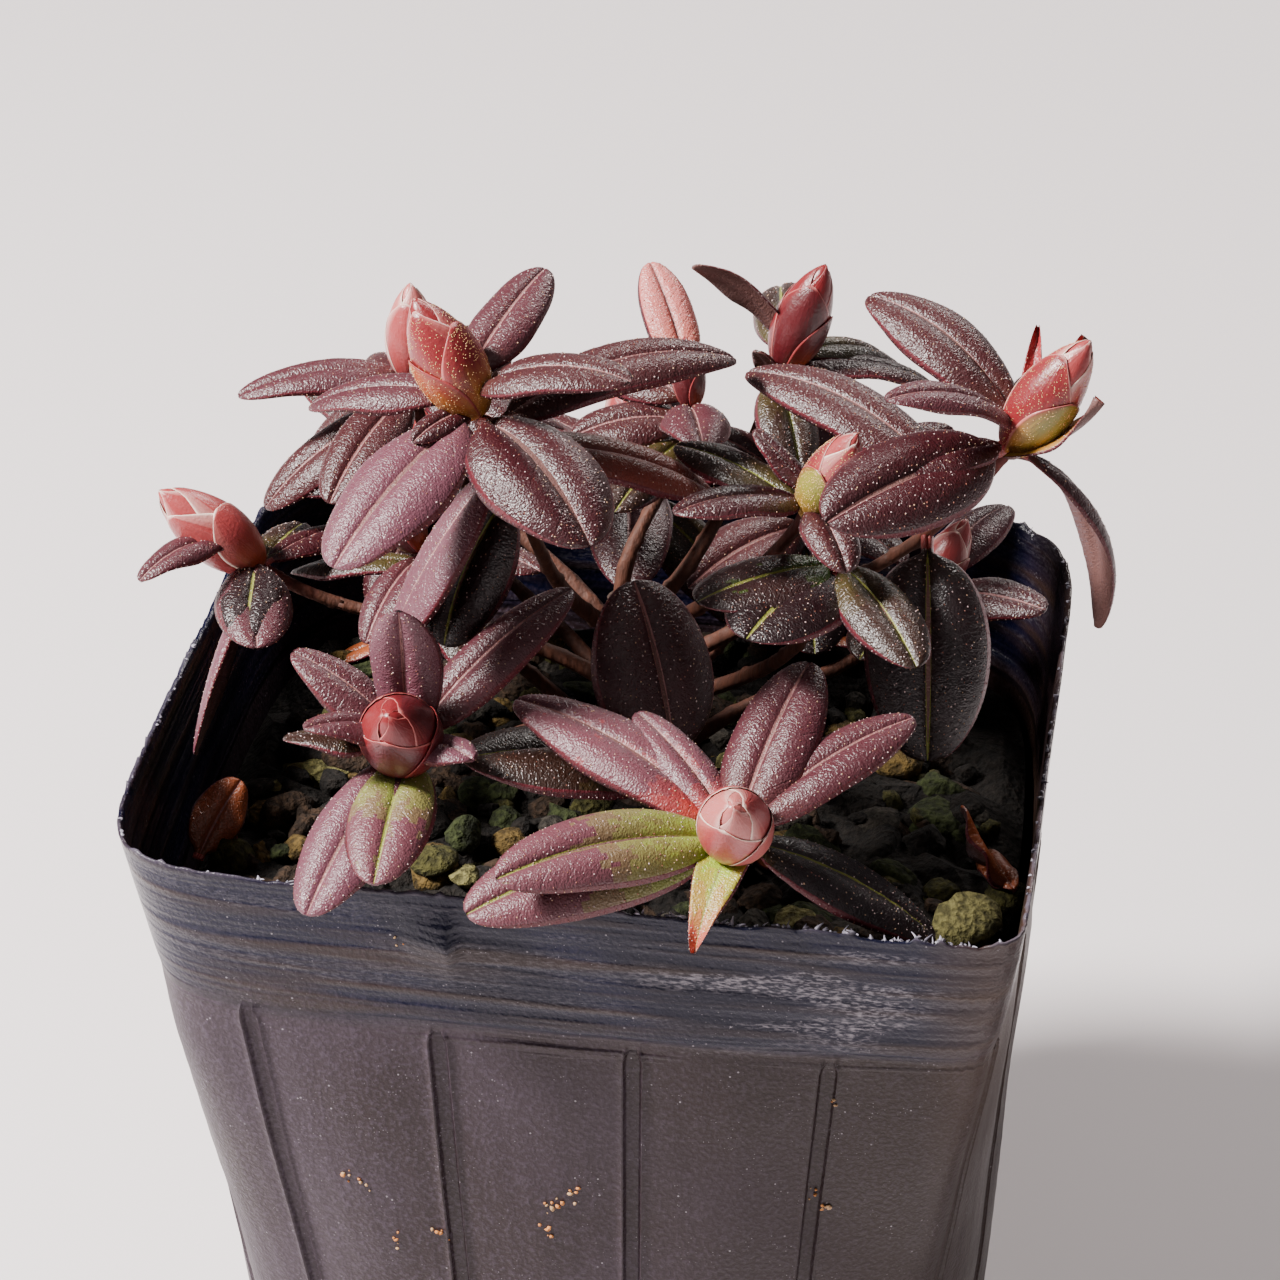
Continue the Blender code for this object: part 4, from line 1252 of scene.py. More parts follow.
def dome_faces(count):
    """Triangles of many domes: ring to raised middle, and ring to lower middle the other way round."""
    here = np.arange(DOT_SIDES)
    after = (here + 1) % DOT_SIDES
    top = np.stack([here, after, np.full(DOT_SIDES, DOT_SIDES)], axis=1)
    low = np.stack([after, here, np.full(DOT_SIDES, DOT_SIDES + 1)], axis=1)
    one = np.concatenate([top, low])
    return (one[None] + (np.arange(count) * (DOT_SIDES + 2))[:, None, None]).reshape(-1, 3)


def turned_out(points, faces, size):
    """Flip the faces of each small closed shape that encloses a negative volume."""
    corner = points[faces]
    centre = points.reshape(-1, size, 3).mean(axis=1)
    per = len(faces) // len(centre)
    corner = corner - np.repeat(centre, per, axis=0)[:, None]
    volume = (corner[:, 0] * np.cross(corner[:, 1], corner[:, 2])).sum(axis=1).reshape(-1, per).sum(axis=1)
    wrong = np.repeat(volume < 0.0, per)
    faces = faces.copy()
    faces[wrong] = faces[wrong][:, ::-1]
    return faces


def add_domes(name, domes, paints, shares, chance, shoot):
    """Joined piece of domes with paints dealt by share."""
    points = domes.reshape(-1, 3)
    faces = turned_out(points, dome_faces(len(domes)), DOT_SIDES + 2)
    slots = np.repeat(chance.choice(paints, len(domes), p=shares), 2 * DOT_SIDES)
    piece = mesh_piece(name, points, np.zeros((0, 4), int), faces, slots)
    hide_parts("mass_" + shoot)


SCALE_COLOURS = {
    "scale_gold": (0.500, 0.320, 0.200),
    "scale_pale": (0.560, 0.410, 0.400),
    "scale_rust": (0.260, 0.090, 0.060),
}
SCALE_SHARES = (0.25, 0.5, 0.25)
SCALE_PAINTS = []
for title, colour in SCALE_COLOURS.items():
    paint, _, shader = new_paint(title, colour, 0.28)
    shader.inputs["Specular IOR Level"].default_value = 0.7
    SCALE_PAINTS.append(numbered(paint))

for shoot, leaves in looks.items():
    chance = np.random.default_rng(len(shoot) * 7 + len(leaves))
    domes = np.concatenate([dot_domes(leaf, chance) for leaf in leaves])
    add_domes("scales_" + shoot, domes, SCALE_PAINTS, SCALE_SHARES, chance, shoot)
print("scales of the last shoot", len(domes))

# %% [markdown]
# Buds.  A flower bud is a cone of blunt scales that overlap like tiles, each with a
# pale thin edge, outer ones short and sometimes gold or orange.  Their colours come
# first.  One pink for all would look like wax, so every kind of bud has four
# colourings, and a paint runs from foot to middle, to flank and to hem by the
# scale's own coordinates, roughened by streaks.

# %% Bud paints
BUD_STREAKS = (9.0, 1.2, 1.0)
BUD_RISE = (0.10, 0.62)
BUD_FLANK = (0.50, 0.98)
BUD_HEM = (0.92, 0.97)
BUD_TIP_HEM = (0.97, 1.0)
BUD_COLOURS = {
    "wine": (0.080, 0.007, 0.010),
    "crimson": (0.180, 0.014, 0.017),
    "rose": (0.310, 0.045, 0.046),
    "blush": (0.450, 0.125, 0.115),
    "shell": (0.620, 0.310, 0.280),
    "cream": (0.740, 0.540, 0.460),
    "amber": (0.320, 0.055, 0.012),
    "gold": (0.380, 0.170, 0.022),
    "moss": (0.220, 0.200, 0.030),
    "lime": (0.460, 0.500, 0.090),
}

# Kind of bud: from its inner scales to its outermost, the colours of foot, middle, flank and edge
BUD_KINDS = {
    "orange": (
        "rose crimson blush shell", "amber crimson blush shell",
        "gold crimson rose blush", "gold amber crimson rose",
    ),
    "pale": (
        "rose blush shell cream", "rose blush shell cream",
        "rose rose shell cream", "amber rose blush cream",
    ),
    "creamy": (
        "rose rose shell cream", "crimson rose shell cream",
        "rose rose shell cream", "amber rose blush cream",
    ),
    "dark": (
        "crimson crimson crimson blush", "wine wine crimson blush",
        "wine wine crimson blush", "amber wine crimson rose",
    ),
    # The front bud's paler inner scales are partly painted highlight, standing in for the light on its top
    "green": (
        "rose blush shell shell", "rose rose shell cream",
        "lime rose blush cream", "lime blush rose cream",
    ),
    "rosy": (
        "rose rose shell cream", "crimson rose shell cream",
        "crimson crimson rose shell", "gold moss crimson blush",
    ),
}

# Kind of each bud that isn't dark
SHOOT_BUDS = {
    "left_top": "orange",
    "left_back": "pale",
    "left_low": "creamy",
    "front": "green",
    "right_front": "rosy",
    "right_top": "rosy",
    "rear": "creamy",
    "rear_left": "pale",
    "right_rear": "creamy",
}


def bud_paint(name, colours):
    """Waxy scale: foot to middle along it, flank across it, a pale hem, fine streaks and a moist gloss."""
    foot, middle, flank, hem = (BUD_COLOURS[colour] for colour in colours.split())
    paint, tree, shader = new_paint("bud_" + name, middle, 0.34)
    place = place_node(tree)
    wide, own = leaf_place(tree, BUD_STREAKS)
    streaks = noise_node(tree, wide, 1.0, 3.0)
    axes = axes_of(tree, own)
    aside = maths(tree, "ABSOLUTE", axes["X"], 0.0)
    uneven = product(tree, maths(tree, "SUBTRACT", streaks, 0.5), 0.5)
    up = ranged(tree, maths(tree, "ADD", axes["Y"], uneven), *BUD_RISE)
    off = ranged(tree, maths(tree, "ADD", aside, uneven), *BUD_FLANK)
    off = product(tree, off, ranged(tree, axes["Y"], 0.1, 0.8, 0.5, 1.0))
    colour = mixed(tree, off, mixed(tree, up, foot, middle), flank)
    edge = maths(tree, "MAXIMUM", ranged(tree, aside, *BUD_HEM), ranged(tree, axes["Y"], *BUD_TIP_HEM))
    tree.links.new(mixed(tree, edge, colour, hem), shader.inputs["Base Color"])
    bumped(tree, shader, maths(tree, "ADD", streaks, noise_node(tree, place, 3000.0)), 0.06, 0.9)
    rough = ranged(tree, noise_node(tree, place, 700.0), 0.3, 0.7, 0.28, 0.44)
    tree.links.new(rough, shader.inputs["Roughness"])
    shader.inputs["Coat Weight"].default_value = 0.15
    shader.inputs["Coat Roughness"].default_value = 0.25
    shader.inputs["Subsurface Weight"].default_value = 0.08
    shader.inputs["Subsurface Scale"].default_value = 0.3 * MM
    return numbered(paint)


BUD_PAINTS = {
    kind: [bud_paint("%s_%d" % (kind, number), colours) for number, colours in enumerate(groups)]
    for kind, groups in BUD_KINDS.items()
}
print("bud paints", sum(len(group) for group in BUD_PAINTS.values()))

# %% [markdown]
# The bud's scales.  One smooth egg with drawn edges would look painted, so each scale
# is a thin shell of its own on an egg-shaped core, set round it by the golden angle,
# the lower ones outermost.  On the buds that catch most light, gold dots stand on the
# scales as they do on the leaves.

# %% Bud scales
BUD_CORE = 0.90
CORE_PARTS = (0.03, 0.985)
CORE_RINGS = 18
BUD_WIDTH = 7.0
SMALL_BUD = 4.0
SCALE_ROWS = 20
SCALE_ACROSS = np.array([-1.0, -0.94, -0.82, -0.68, -0.52, -0.36, -0.2, -0.07, 0.0])
SCALE_ACROSS = np.concatenate([SCALE_ACROSS, -SCALE_ACROSS[-2::-1]])
SCALE_THICK = 0.14
SCALE_LIFT = 0.22
SCALE_KEEL = 0.16
SCALE_FOOT = 0.03
CLOSE_START = 0.84
CLOSE_RUN = 0.15
CLOSED = 0.85

# Scales of a bud from the innermost: how far up it reaches, half its angle, how far out
# it lies, and which of the four colourings it takes
BUD_SCALES = (
    (1.000, 100.0, 0.00, 0),
    (0.995, 110.0, 0.05, 0),
    (0.975, 110.0, 0.10, 0),
    (0.930, 105.0, 0.16, 1),
    (0.840, 100.0, 0.23, 2),
    (0.740, 92.0, 0.31, 2),
    (0.620, 80.0, 0.40, 3),
)
BUD_SKEW = 14.0

# The way each bud's outermost scale faces, where it shows, and each bud's share of the
# solid's width
BUD_FIRST = {"left_top": -142.0, "right_top": -30.0, "right_front": -110.0, "front": -15.0}
BUD_SLIM = {"left_top": 0.84, "right_top": 0.72, "right_front": 0.72, "back_top": 0.75, "front_left": 0.95}
BUD_SLIM_REST = 0.82


def bud_radius(part, width):
    """Radius of the egg along its length: a power of a sine, blunt below and pointed above."""
    part = np.clip(part, 0.0, 1.0)
    return width / 2.0 * np.sin(math.pi * part ** BUD_LOW) ** BUD_BLUNTNESS


def bud_frame(shoot):
    """Start, axis, two cross directions, full length and width of a bud."""
    whorl, axis, (length, width), _, _, _ = SHOOTS[shoot]
    width = width * BUD_SLIM.get(shoot, BUD_SLIM_REST)
    along = facing(*axis)
    side = np.cross(along, UP)
    side /= np.linalg.norm(side)
    start = np.array(whorl, float) - along * BUD_SINK
    return start, along, side, np.cross(side, along), length + BUD_SINK, width


def round_bud(bud, part, angle, radius):
    """Points round a bud: start + axis * part of its length + radius * (cosine * side + sine * other)."""
    start, along, side, other, total, _ = bud
    round_way = np.cos(angle)[..., None] * side + np.sin(angle)[..., None] * other
    return start + along * (part * total)[..., None] + round_way * radius[..., None]


def bud_scale(shoot, turn, scale, paint):
    """One scale: a pointed, keeled patch of the egg, closed by an inner face a little way in."""
    bud = bud_frame(shoot)
    width = bud[-1]
    high, spread, layer, _ = scale
    rise = np.linspace(0.0, 1.0, SCALE_ROWS)[:, None]
    across = SCALE_ACROSS[None, :]
    blunt = 2.4 + 2.0 * high ** 2
    narrow = (1.0 - (rise * 0.99) ** blunt) ** 0.75
    angle = math.radians(turn) + math.radians(BUD_SKEW) * rise + math.radians(spread) * narrow * across
    part = SCALE_FOOT + (high - SCALE_FOOT) * rise * np.ones_like(across)
    small = width / BUD_WIDTH
    keel = SCALE_KEEL * (1.0 - np.abs(across)) * (1.0 - rise ** 3)
    lift = layer + SCALE_LIFT * (1.15 - high) * rise ** 4 + keel
    closing = 1.0 - CLOSED * np.clip((part - CLOSE_START) / CLOSE_RUN, 0.0, 1.0)
    outer = bud_radius(part, width) * BUD_CORE + (lift + SCALE_THICK) * small * closing
    inner = np.maximum(outer - SCALE_THICK * small * (1.3 - np.abs(across)), 0.02)
    sides = [round_bud(bud, part, angle, outer), round_bud(bud, part, angle, inner)[:, ::-1]]
    count = len(SCALE_ACROSS)
    places = np.zeros((SCALE_ROWS, 2 * count, 3))
    places[..., 0] = np.concatenate([SCALE_ACROSS, SCALE_ACROSS[::-1]])
    places[..., 1] = rise
    places[..., 2] = turn
    return np.concatenate(sides, axis=1), np.full((SCALE_ROWS + 1, 2 * count), paint), places


def bud_core(bud, paint):
    """The egg under the scales."""
    start, along, _, _, total, width = bud
    part = np.linspace(*CORE_PARTS, CORE_RINGS)
    path = start + along * (part * total)[:, None]
    core = rings_round(path, bud_radius(part, width) * BUD_CORE, CORE_RINGS)
    places = np.stack(np.broadcast_arrays(0.0, part[:, None] * 0.9, np.zeros((1, CORE_RINGS))), axis=-1)
    return core, np.full((CORE_RINGS + 1, CORE_RINGS), paint), places


def bud_skins(shoot):
    """All the scales of a bud over its core."""
    bud = bud_frame(shoot)
    _, _, side, other, total, _ = bud
    paints = BUD_PAINTS[SHOOT_BUDS.get(shoot, "dark")]
    skins = [bud_core(bud, paints[0])]
    scales = BUD_SCALES if total > SMALL_BUD else BUD_SCALES[::3]
    way = facing(BUD_FIRST.get(shoot, 0.0), 0.0)
    first = math.degrees(math.atan2(way @ other, way @ side))
    for number, scale in enumerate(scales):
        turn = first - GOLDEN_TURN * (len(scales) - 1 - number)
        skins.append(bud_scale(shoot, turn, scale, paints[scale[3]]))
    return skins


BUD_DOTS = 420
BUD_DOT_SIZES = (0.036, 0.060)
BUD_DOT_REACH = 0.78
DOTTED_KINDS = ("orange", "rosy")
BUD_DOT = (0.720, 0.460, 0.200)


def bud_dots(rings, chance):
    """Small domes at random places of a scale's outer face, thinned towards its edges."""
    count = len(SCALE_ACROSS)
    row = chance.uniform(1.0, SCALE_ROWS - 2.0, BUD_DOTS)
    column = (chance.uniform(-BUD_DOT_REACH, BUD_DOT_REACH, BUD_DOTS) + 1.0) / 2.0 * (count - 1)
    low = np.floor(row).astype(int)
    left = np.floor(column).astype(int)
    up = (row - low)[:, None]
    right = (column - left)[:, None]
    first = rings[low, left] * (1.0 - right) + rings[low, left + 1] * right
    second = rings[low + 1, left] * (1.0 - right) + rings[low + 1, left + 1] * right
    point = first * (1.0 - up) + second * up
    along = second - first
    aside = rings[low, left + 1] - rings[low, left]
    return domes_at(point, along, aside, np.cross(along, aside), chance.uniform(*BUD_DOT_SIZES, BUD_DOTS))


DOT_PAINT = plain_paint("bud_dot", BUD_DOT, 0.3)
for shoot in SHOOTS:
    skins = bud_skins(shoot)
    piece = joined_skins("bud_" + shoot, skins)
    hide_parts("mass_" + shoot)
    if SHOOT_BUDS.get(shoot) in DOTTED_KINDS:
        chance = np.random.default_rng(len(shoot))
        domes = np.concatenate([bud_dots(rings, chance) for rings, _, _ in skins[3:]])
        add_domes("bud_scales_" + shoot, domes, [DOT_PAINT], (1.0,), chance, shoot)
print("buds", len(SHOOTS))

# %% [markdown]
# Stems, boughs and trunk.  Young stems are red and smooth, older wood is tan with
# shallow cracks and the scars of fallen leaves.  A cylinder would do for the shape,
# but the silhouette between the leaves needs its knots, so each limb is rings round
# its path whose radius takes cracks from a wave round the limb and swellings at the
# scars.

# %% Wood
LIMB_COLUMNS = 16
LIMB_SLIM = 0.72
LIMB_ROW = 0.45
SCAR_SPACING = 2.6
SCAR_RAISE = 0.22
SCAR_LENGTH = 0.35
CRACK_DEPTH = 0.05
CRACKS_ROUND = 5.0
FOOT_FLARE = 1.25
TRUNK_RINGS = 60
BARK_OLD = (0.036, 0.016, 0.009)
BARK_YOUNG = (0.078, 0.020, 0.007)
BARK_RED = (0.125, 0.012, 0.010)
WOOD_COLOURS = 5


def wood_paint(name, colour, cracks):
    """Bark: long cracks from stretched noise, darker in the hollows of the same noise."""
    paint, tree, shader = new_paint(name, colour, 0.75)
    place = place_node(tree, (1.0, 1.0, 0.25))
    rough = noise_node(tree, place, 1800.0)
    bumped(tree, shader, rough, 0.45, cracks)
    grey = mixed(tree, ranged(tree, rough, 0.35, 0.65), tuple(c * 0.6 for c in colour), colour)
    tree.links.new(grey, shader.inputs["Base Color"])
    return numbered(paint)


OLD_PAINT = wood_paint("bark_old", BARK_OLD, 1.0)
WOOD_PAINTS = [
    wood_paint("bark_%d" % step, blend_of(BARK_YOUNG, BARK_RED, step / (WOOD_COLOURS - 1)), 0.5)
    for step in range(WOOD_COLOURS)
]


def limb_skin(path, radii, salt, slots):
    """Rings round a path with lengthwise cracks and a swelling at each leaf scar."""
    run = run_along(path)
    angle = angles_round(LIMB_COLUMNS)
    wander = 0.8 * np.sin(run[:, None] * 0.9 + salt)
    crack = CRACK_DEPTH * np.sin(CRACKS_ROUND * angle[None, :] + wander)
    scar = np.zeros((len(run), LIMB_COLUMNS))
    for number in range(int(run[-1] / SCAR_SPACING) + 1):
        along = (run - (number + 0.4) * SCAR_SPACING) / SCAR_LENGTH
        around = np.cos(angle - math.radians(GOLDEN_TURN) * number)
        scar += SCAR_RAISE * np.exp(-along ** 2)[:, None] * np.clip(around, 0.0, 1.0)[None, :] ** 2
    rings = rings_round(path, radii[:, None] * (1.0 + crack) + scar, LIMB_COLUMNS)
    return rings, np.broadcast_to(slots, (len(path) + 1, LIMB_COLUMNS))


def stem_skin(shoot):
    """Stem of a shoot from its foot to inside its bud, redder towards the bud."""
    path = shoot_path(shoot)
    finish = path_length(path)
    begin = bough_end(shoot)
    count = max(6, int((finish - begin) / LIMB_ROW))
    points = part_of_path(path, begin - 0.4, finish, count)
    share = np.linspace(0.0, 1.0, count + 1)
    steps = np.array(WOOD_PAINTS)[np.round(share ** 1.5 * (WOOD_COLOURS - 1)).astype(int)]
    return limb_skin(points, np.full(count, STEM_RADIUS * LIMB_SLIM), len(shoot), steps[:, None])


def bough_skin(shoot):
    """Bough from inside the trunk to the foot of its shoot."""
    path = shoot_path(shoot)
    finish = bough_end(shoot)
    count = max(8, int(finish / LIMB_ROW))
    points = part_of_path(path, 0.0, finish, count)
    first = points[0] - (points[1] - points[0]) * 2.0
    points = np.concatenate([[first], points])
    radii = np.linspace(BOUGH_RADIUS, STEM_RADIUS, count + 1) * LIMB_SLIM
    radii[0] *= FOOT_FLARE
    return limb_skin(points, radii, len(shoot) * 1.7, WOOD_PAINTS[0])


def trunk_skin():
    """Trunk from the grit to the highest fork, with its root flare and cracks."""
    heights = np.linspace(TRUNK_FOOT - 1.2, TRUNK_TOP + 0.3, TRUNK_RINGS)
    axis = trunk_axis(heights)
    radii = trunk_radius(np.maximum(heights, TRUNK_FOOT))
    return limb_skin(axis, radii, 0.6, OLD_PAINT)


for shoot in SHOOTS:
    piece = joined_skins("stem_" + shoot, [stem_skin(shoot)])
    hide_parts("mass_" + shoot)
    piece = joined_skins("limb_" + shoot, [bough_skin(shoot)])
    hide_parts("bough_" + shoot)
piece = joined_skins("stock", [trunk_skin()])
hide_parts("trunk")
print("limbs", len(SHOOTS) + 1)

# %% [markdown]
# The film pot.  Thin black polythene, blown round and squashed square by handling: a
# smooth band under the torn rim, sixteen upright ribs below it, dusty and scuffed.
# It could be a round cone with noise on it, but its rim is what the eye follows, so
# the wall is ruled from a round foot to the measured rounded square.  Points lie close
# together at the ribs and wider between them.

# %% Pot outline
POT_RIBS = 16
RIB_SPACES = 15
RIB_STEPS = 17
RIB_NEAR = 0.06
RIM_START_TURN = -78.5

# Rim's four sides: turn and distance; its four corners: turn and sharpness
POT_SIDES = ((-90.0, 38.4), (2.5, 39.2), (90.0, 38.4), (180.0, 39.4))
POT_CORNERS = ((-43.0, 26.0), (45.0, 6.0), (135.0, 6.0), (225.0, 9.0))


def top_outline():
    """Rounded square of the rim by perimeter, from four sides and four corner powers."""
    turn = np.radians(RIM_START_TURN) + np.linspace(0.0, 2.0 * math.pi, 2881)
    power = np.zeros_like(turn)
    weight = np.zeros_like(turn)
    for corner_turn, corner_power in POT_CORNERS:
        near = np.maximum(np.cos(turn - math.radians(corner_turn)), 0.0) ** 2 + 0.001
        power += near * corner_power
        weight += near
    power /= weight
    total = np.zeros_like(turn)
    for side_turn, side_distance in POT_SIDES:
        near = np.maximum(np.cos(turn - math.radians(side_turn)), 0.0)
        total += (near / side_distance) ** power
    reach = total ** (-1.0 / power)
    return np.stack([reach * np.cos(turn), reach * np.sin(turn)], axis=1)


def wall_places():
    """Shares of the way round, close together at each rib and wider between."""
    local = np.concatenate([
        np.linspace(-0.5, -RIB_NEAR, RIB_SPACES, endpoint=False),
        np.linspace(-RIB_NEAR, RIB_NEAR, RIB_STEPS, endpoint=False),
        np.linspace(RIB_NEAR, 0.5, RIB_SPACES, endpoint=False),
    ])
    return (np.arange(POT_RIBS)[:, None] + local[None, :]).ravel() / POT_RIBS


WALL_PLACES = np.sort(wall_places() % 1.0)


def pot_section(height, inset):
    """Outline at one height, moved in by a distance: a round base ruled to the squashed rim."""
    outline = top_outline()
    top = path_at(outline, WALL_PLACES * run_along(outline)[-1])
    tangent = np.roll(top, -1, axis=0) - np.roll(top, 1, axis=0)
    outward_way = np.stack([tangent[:, 1], -tangent[:, 0]], axis=1)
    outward_way /= np.linalg.norm(outward_way, axis=1)[:, None]
    turn = math.radians(RIM_START_TURN) + 2.0 * math.pi * WALL_PLACES
    away = np.stack([np.cos(turn), np.sin(turn)], axis=1)
    part = height / POT_HEIGHT
    line = away * (POT_BASE_RADIUS - inset) * (1.0 - part) + (top - outward_way * inset) * part
    return line, away * (1.0 - part) + outward_way * part


print("points round the wall", len(WALL_PLACES))

# %% [markdown]
# The wall's relief.  Film takes every knock: it is dented, creased at the squashed
# corner and torn along the rim, and its ribs are pressed channels with the panels
# bulging between them.  Sculpting would do, but each mark is a short formula of the
# way round and the height, so that it can be moved or made weaker on its own.

# %% Pot wall
POT_FLOOR = 1.3
BASE_EDGE = 0.8
RIB_PITCH = 17.7
RIB_HALF = 0.84
RIB_SINK = 0.34
RIB_EDGE = 0.34
PANEL_BULGE = 0.55
RIB_LOW = 4.0
RIB_TOP = 61.5
RIB_POINT = 1.8
BAND_LOW = 62.5
BAND_RAISE = 0.22
GRIT_TOP = 61.6
LIP_HEIGHT = 1.2
FILM = 0.5
LIP_FILM = 0.3
CORNER_PLACE = 0.108
CORNER_CREASE = 0.13
CORNER_WIDTH = 0.013
DENT_PLACE = 0.945
DENT_HEIGHT = 71.5
DENT_DEPTH = 1.5
DENT_SIDES = (0.016, 0.0025)
TEAR_SHARE = 0.04

# Torn edge: how many steps round the rim and how high they are
TORN_STEPS = ((9, 0.24), (34, 0.20), (120, 0.20), (330, 0.24))

# Knocks: size, then waves round and up and a shift for one sine, waves round and up for the other
KNOCKS = (
    (0.30, 5.0, 7.0, 0.4, 3.0, -5.0),
    (0.07, 23.0, 11.0, 0.0, 9.0, -17.0),
    (0.035, 61.0, 90.0, 0.0, 37.0, -70.0),
)


def rim_ragged(seed):
    """Uneven torn edge: seeded steps of several lengths, with a sharp tear now and then."""
    chance = np.random.default_rng(seed)
    total = np.zeros(len(WALL_PLACES))
    for waves, size in TORN_STEPS:
        knots = chance.uniform(-1.0, 1.0, waves)
        total += size * np.interp(WALL_PLACES * waves, np.arange(waves + 1), np.append(knots, knots[0]))
    tears = (chance.random(len(WALL_PLACES)) < TEAR_SHARE) * chance.uniform(0.2, 0.6, len(WALL_PLACES))
    return total + tears


def wall_relief(height):
    """Handling marks: products of two slanted sines, a creased corner, one sharp dent and the band's fold."""
    turn = 2.0 * math.pi * WALL_PLACES
    part = height / POT_HEIGHT
    knocks = 0.0
    for size, waves, rise, shift, others, other_rise in KNOCKS:
        second = np.sin(others * turn + other_rise * part)
        knocks = knocks + size * np.sin(waves * turn + rise * part + shift) * second
    away = WALL_PLACES - CORNER_PLACE
    fan = np.sin(2.0 * math.pi * (away * 250.0 + (POT_HEIGHT - height) / 13.0))
    corner = CORNER_CREASE * np.exp(-(away / CORNER_WIDTH) ** 2) * fan
    corner = corner * np.clip((height - 36.0) / 20.0, 0.0, 1.0)
    slope, step = DENT_SIDES
    ramp = np.clip((WALL_PLACES - DENT_PLACE) / slope + 1.0, 0.0, 1.0)
    ramp = ramp * np.clip((DENT_PLACE + step - WALL_PLACES) / step, 0.0, 1.0)
    dent = DENT_DEPTH * ramp * math.exp(-((height - DENT_HEIGHT) / 2.4) ** 2)
    band = BAND_RAISE / (1.0 + math.exp(-(height - BAND_LOW) / 0.35))
    return knocks * math.sin(math.pi * min(part, 0.93)) + corner + dent + band


def rib_profile(height):
    """Pressed rib: a flat channel between two raised edges, closed by an arch, plus the panels' bulge."""
    frac = np.abs((WALL_PLACES * POT_RIBS + 0.5) % 1.0 - 0.5)
    aside = frac * RIB_PITCH
    reach = np.clip((height - RIB_TOP + RIB_POINT) / RIB_POINT, 0.0, 1.0)
    half = RIB_HALF * math.sqrt(max(0.0, 1.0 - reach ** 2))
    foot = min(max((height - RIB_LOW) / 1.5, 0.0), 1.0)
    body = 1.0 / (1.0 + np.exp((aside - half) / 0.07))
    edge = np.exp(-((aside - half - 0.06) / 0.16) ** 2)
    top = min(max((RIB_TOP + 1.5 - height) / 8.0, 0.0), 1.0)
    panel = PANEL_BULGE * (1.0 - (2.0 * (0.5 - frac)) ** 2) * foot * top
    return foot * (half > 0.0) * (RIB_EDGE * edge - RIB_SINK * body) + panel


def wall_ring(height, inset, push, lift):
    """One ring of the wall in space."""
    line, normal = pot_section(height, inset)
    line = line + normal * np.broadcast_to(push, len(WALL_PLACES))[:, None]
    return np.column_stack([line, np.broadcast_to(height + lift, len(WALL_PLACES))])


def loop_skin(rings):
    """Faces and map of a grid that closes both ways: ring by ring and from the last ring to the first."""
    rows, columns, _ = rings.shape
    here = np.arange(rows * columns).reshape(rows, columns)
    right = np.roll(here, -1, axis=1)
    up = np.roll(here, -1, axis=0)
    quads = np.stack([here, right, np.roll(up, -1, axis=1), up], axis=-1).reshape(-1, 4)
    left = np.broadcast_to(np.arange(columns) / columns, (rows, columns))
    low = np.broadcast_to((np.arange(rows) / rows)[:, None], (rows, columns))
    return rings.reshape(-1, 3), quads, face_map(left, low, 1.0 / columns, low + 1.0 / rows)


RAGGED = rim_ragged(7)


def torn_lift(height):
    """Share of the torn edge's rise at a height: all of it at the rim, none below the lip."""
    return RAGGED * np.clip((height - POT_HEIGHT + LIP_HEIGHT) / LIP_HEIGHT, 0.0, 1.0)


def wall_rings():
    """Rings from the foot up the outside, over the lip, and down the inside to the foot again."""
    outside = [0.0, 0.3, BASE_EDGE, 2.0, RIB_LOW, RIB_LOW + 0.7, RIB_LOW + 1.5]
    outside += list(np.linspace(8.0, RIB_TOP - 3.0, 34))
    outside += list(np.linspace(RIB_TOP - RIB_POINT, RIB_TOP, 7))
    outside += list(np.linspace(BAND_LOW - 0.5, BAND_LOW + 0.9, 5))
    outside += list(np.linspace(BAND_LOW + 1.6, POT_HEIGHT - LIP_HEIGHT, 16))
    outside += [POT_HEIGHT - 0.7, POT_HEIGHT - 0.3, POT_HEIGHT]
    rings = []
    for height in outside:
        foot = 0.25 * max(0.0, 1.0 - height / BASE_EDGE)
        push = wall_relief(height) + rib_profile(height)
        rings.append(wall_ring(height, foot, push, torn_lift(height)))
    inside = [POT_HEIGHT - 0.05, POT_HEIGHT - 0.6, POT_HEIGHT - LIP_HEIGHT]
    inside += list(np.linspace(POT_HEIGHT - 2.2, GRIT_TOP - 3.0, 14))
    inside += [45.0, 30.0, 15.0, POT_FLOOR, 0.4]
    for height in inside:
        thin = LIP_FILM if height > POT_HEIGHT - 0.5 else FILM
        rings.append(wall_ring(height, thin, wall_relief(height), torn_lift(height)))
    return np.stack(rings)


WALL_RINGS = wall_rings()
print("rings of the wall", len(WALL_RINGS))

# %% [markdown]
# The film's paint.  Black polythene is never plain black: the band is blue-black with
# level streaks, the body is brown with dust, and the front of the band is scuffed nearly
# white.  Light is painted in as well: painted shade darkens and browns the body towards
# the right side, a painted tan reflection lies on the right edge, the dust is thicker on
# the lit left side as painted sheen, and the pale torn lip is partly a painted highlight.
# One dark paint would look new, so each mark is a mask made of noise and of the place
# on the wall, mixed over the last.

# %% Film paint
FILM_DARK = (0.0030, 0.0036, 0.0170)
FILM_STREAK = (0.0230, 0.0130, 0.0125)
FILM_BROWN = (0.0200, 0.0108, 0.0125)
FILM_GREY = (0.0340, 0.0225, 0.0300)
# Painted shade: the body turns darker and browner towards the right side
FILM_RIGHT_SHADE = (0.0130, 0.0052, 0.0036)
# Painted reflection of a warm tan surface on the film's right edge
FILM_TAN_REFLECTION = (0.0620, 0.0330, 0.0190)
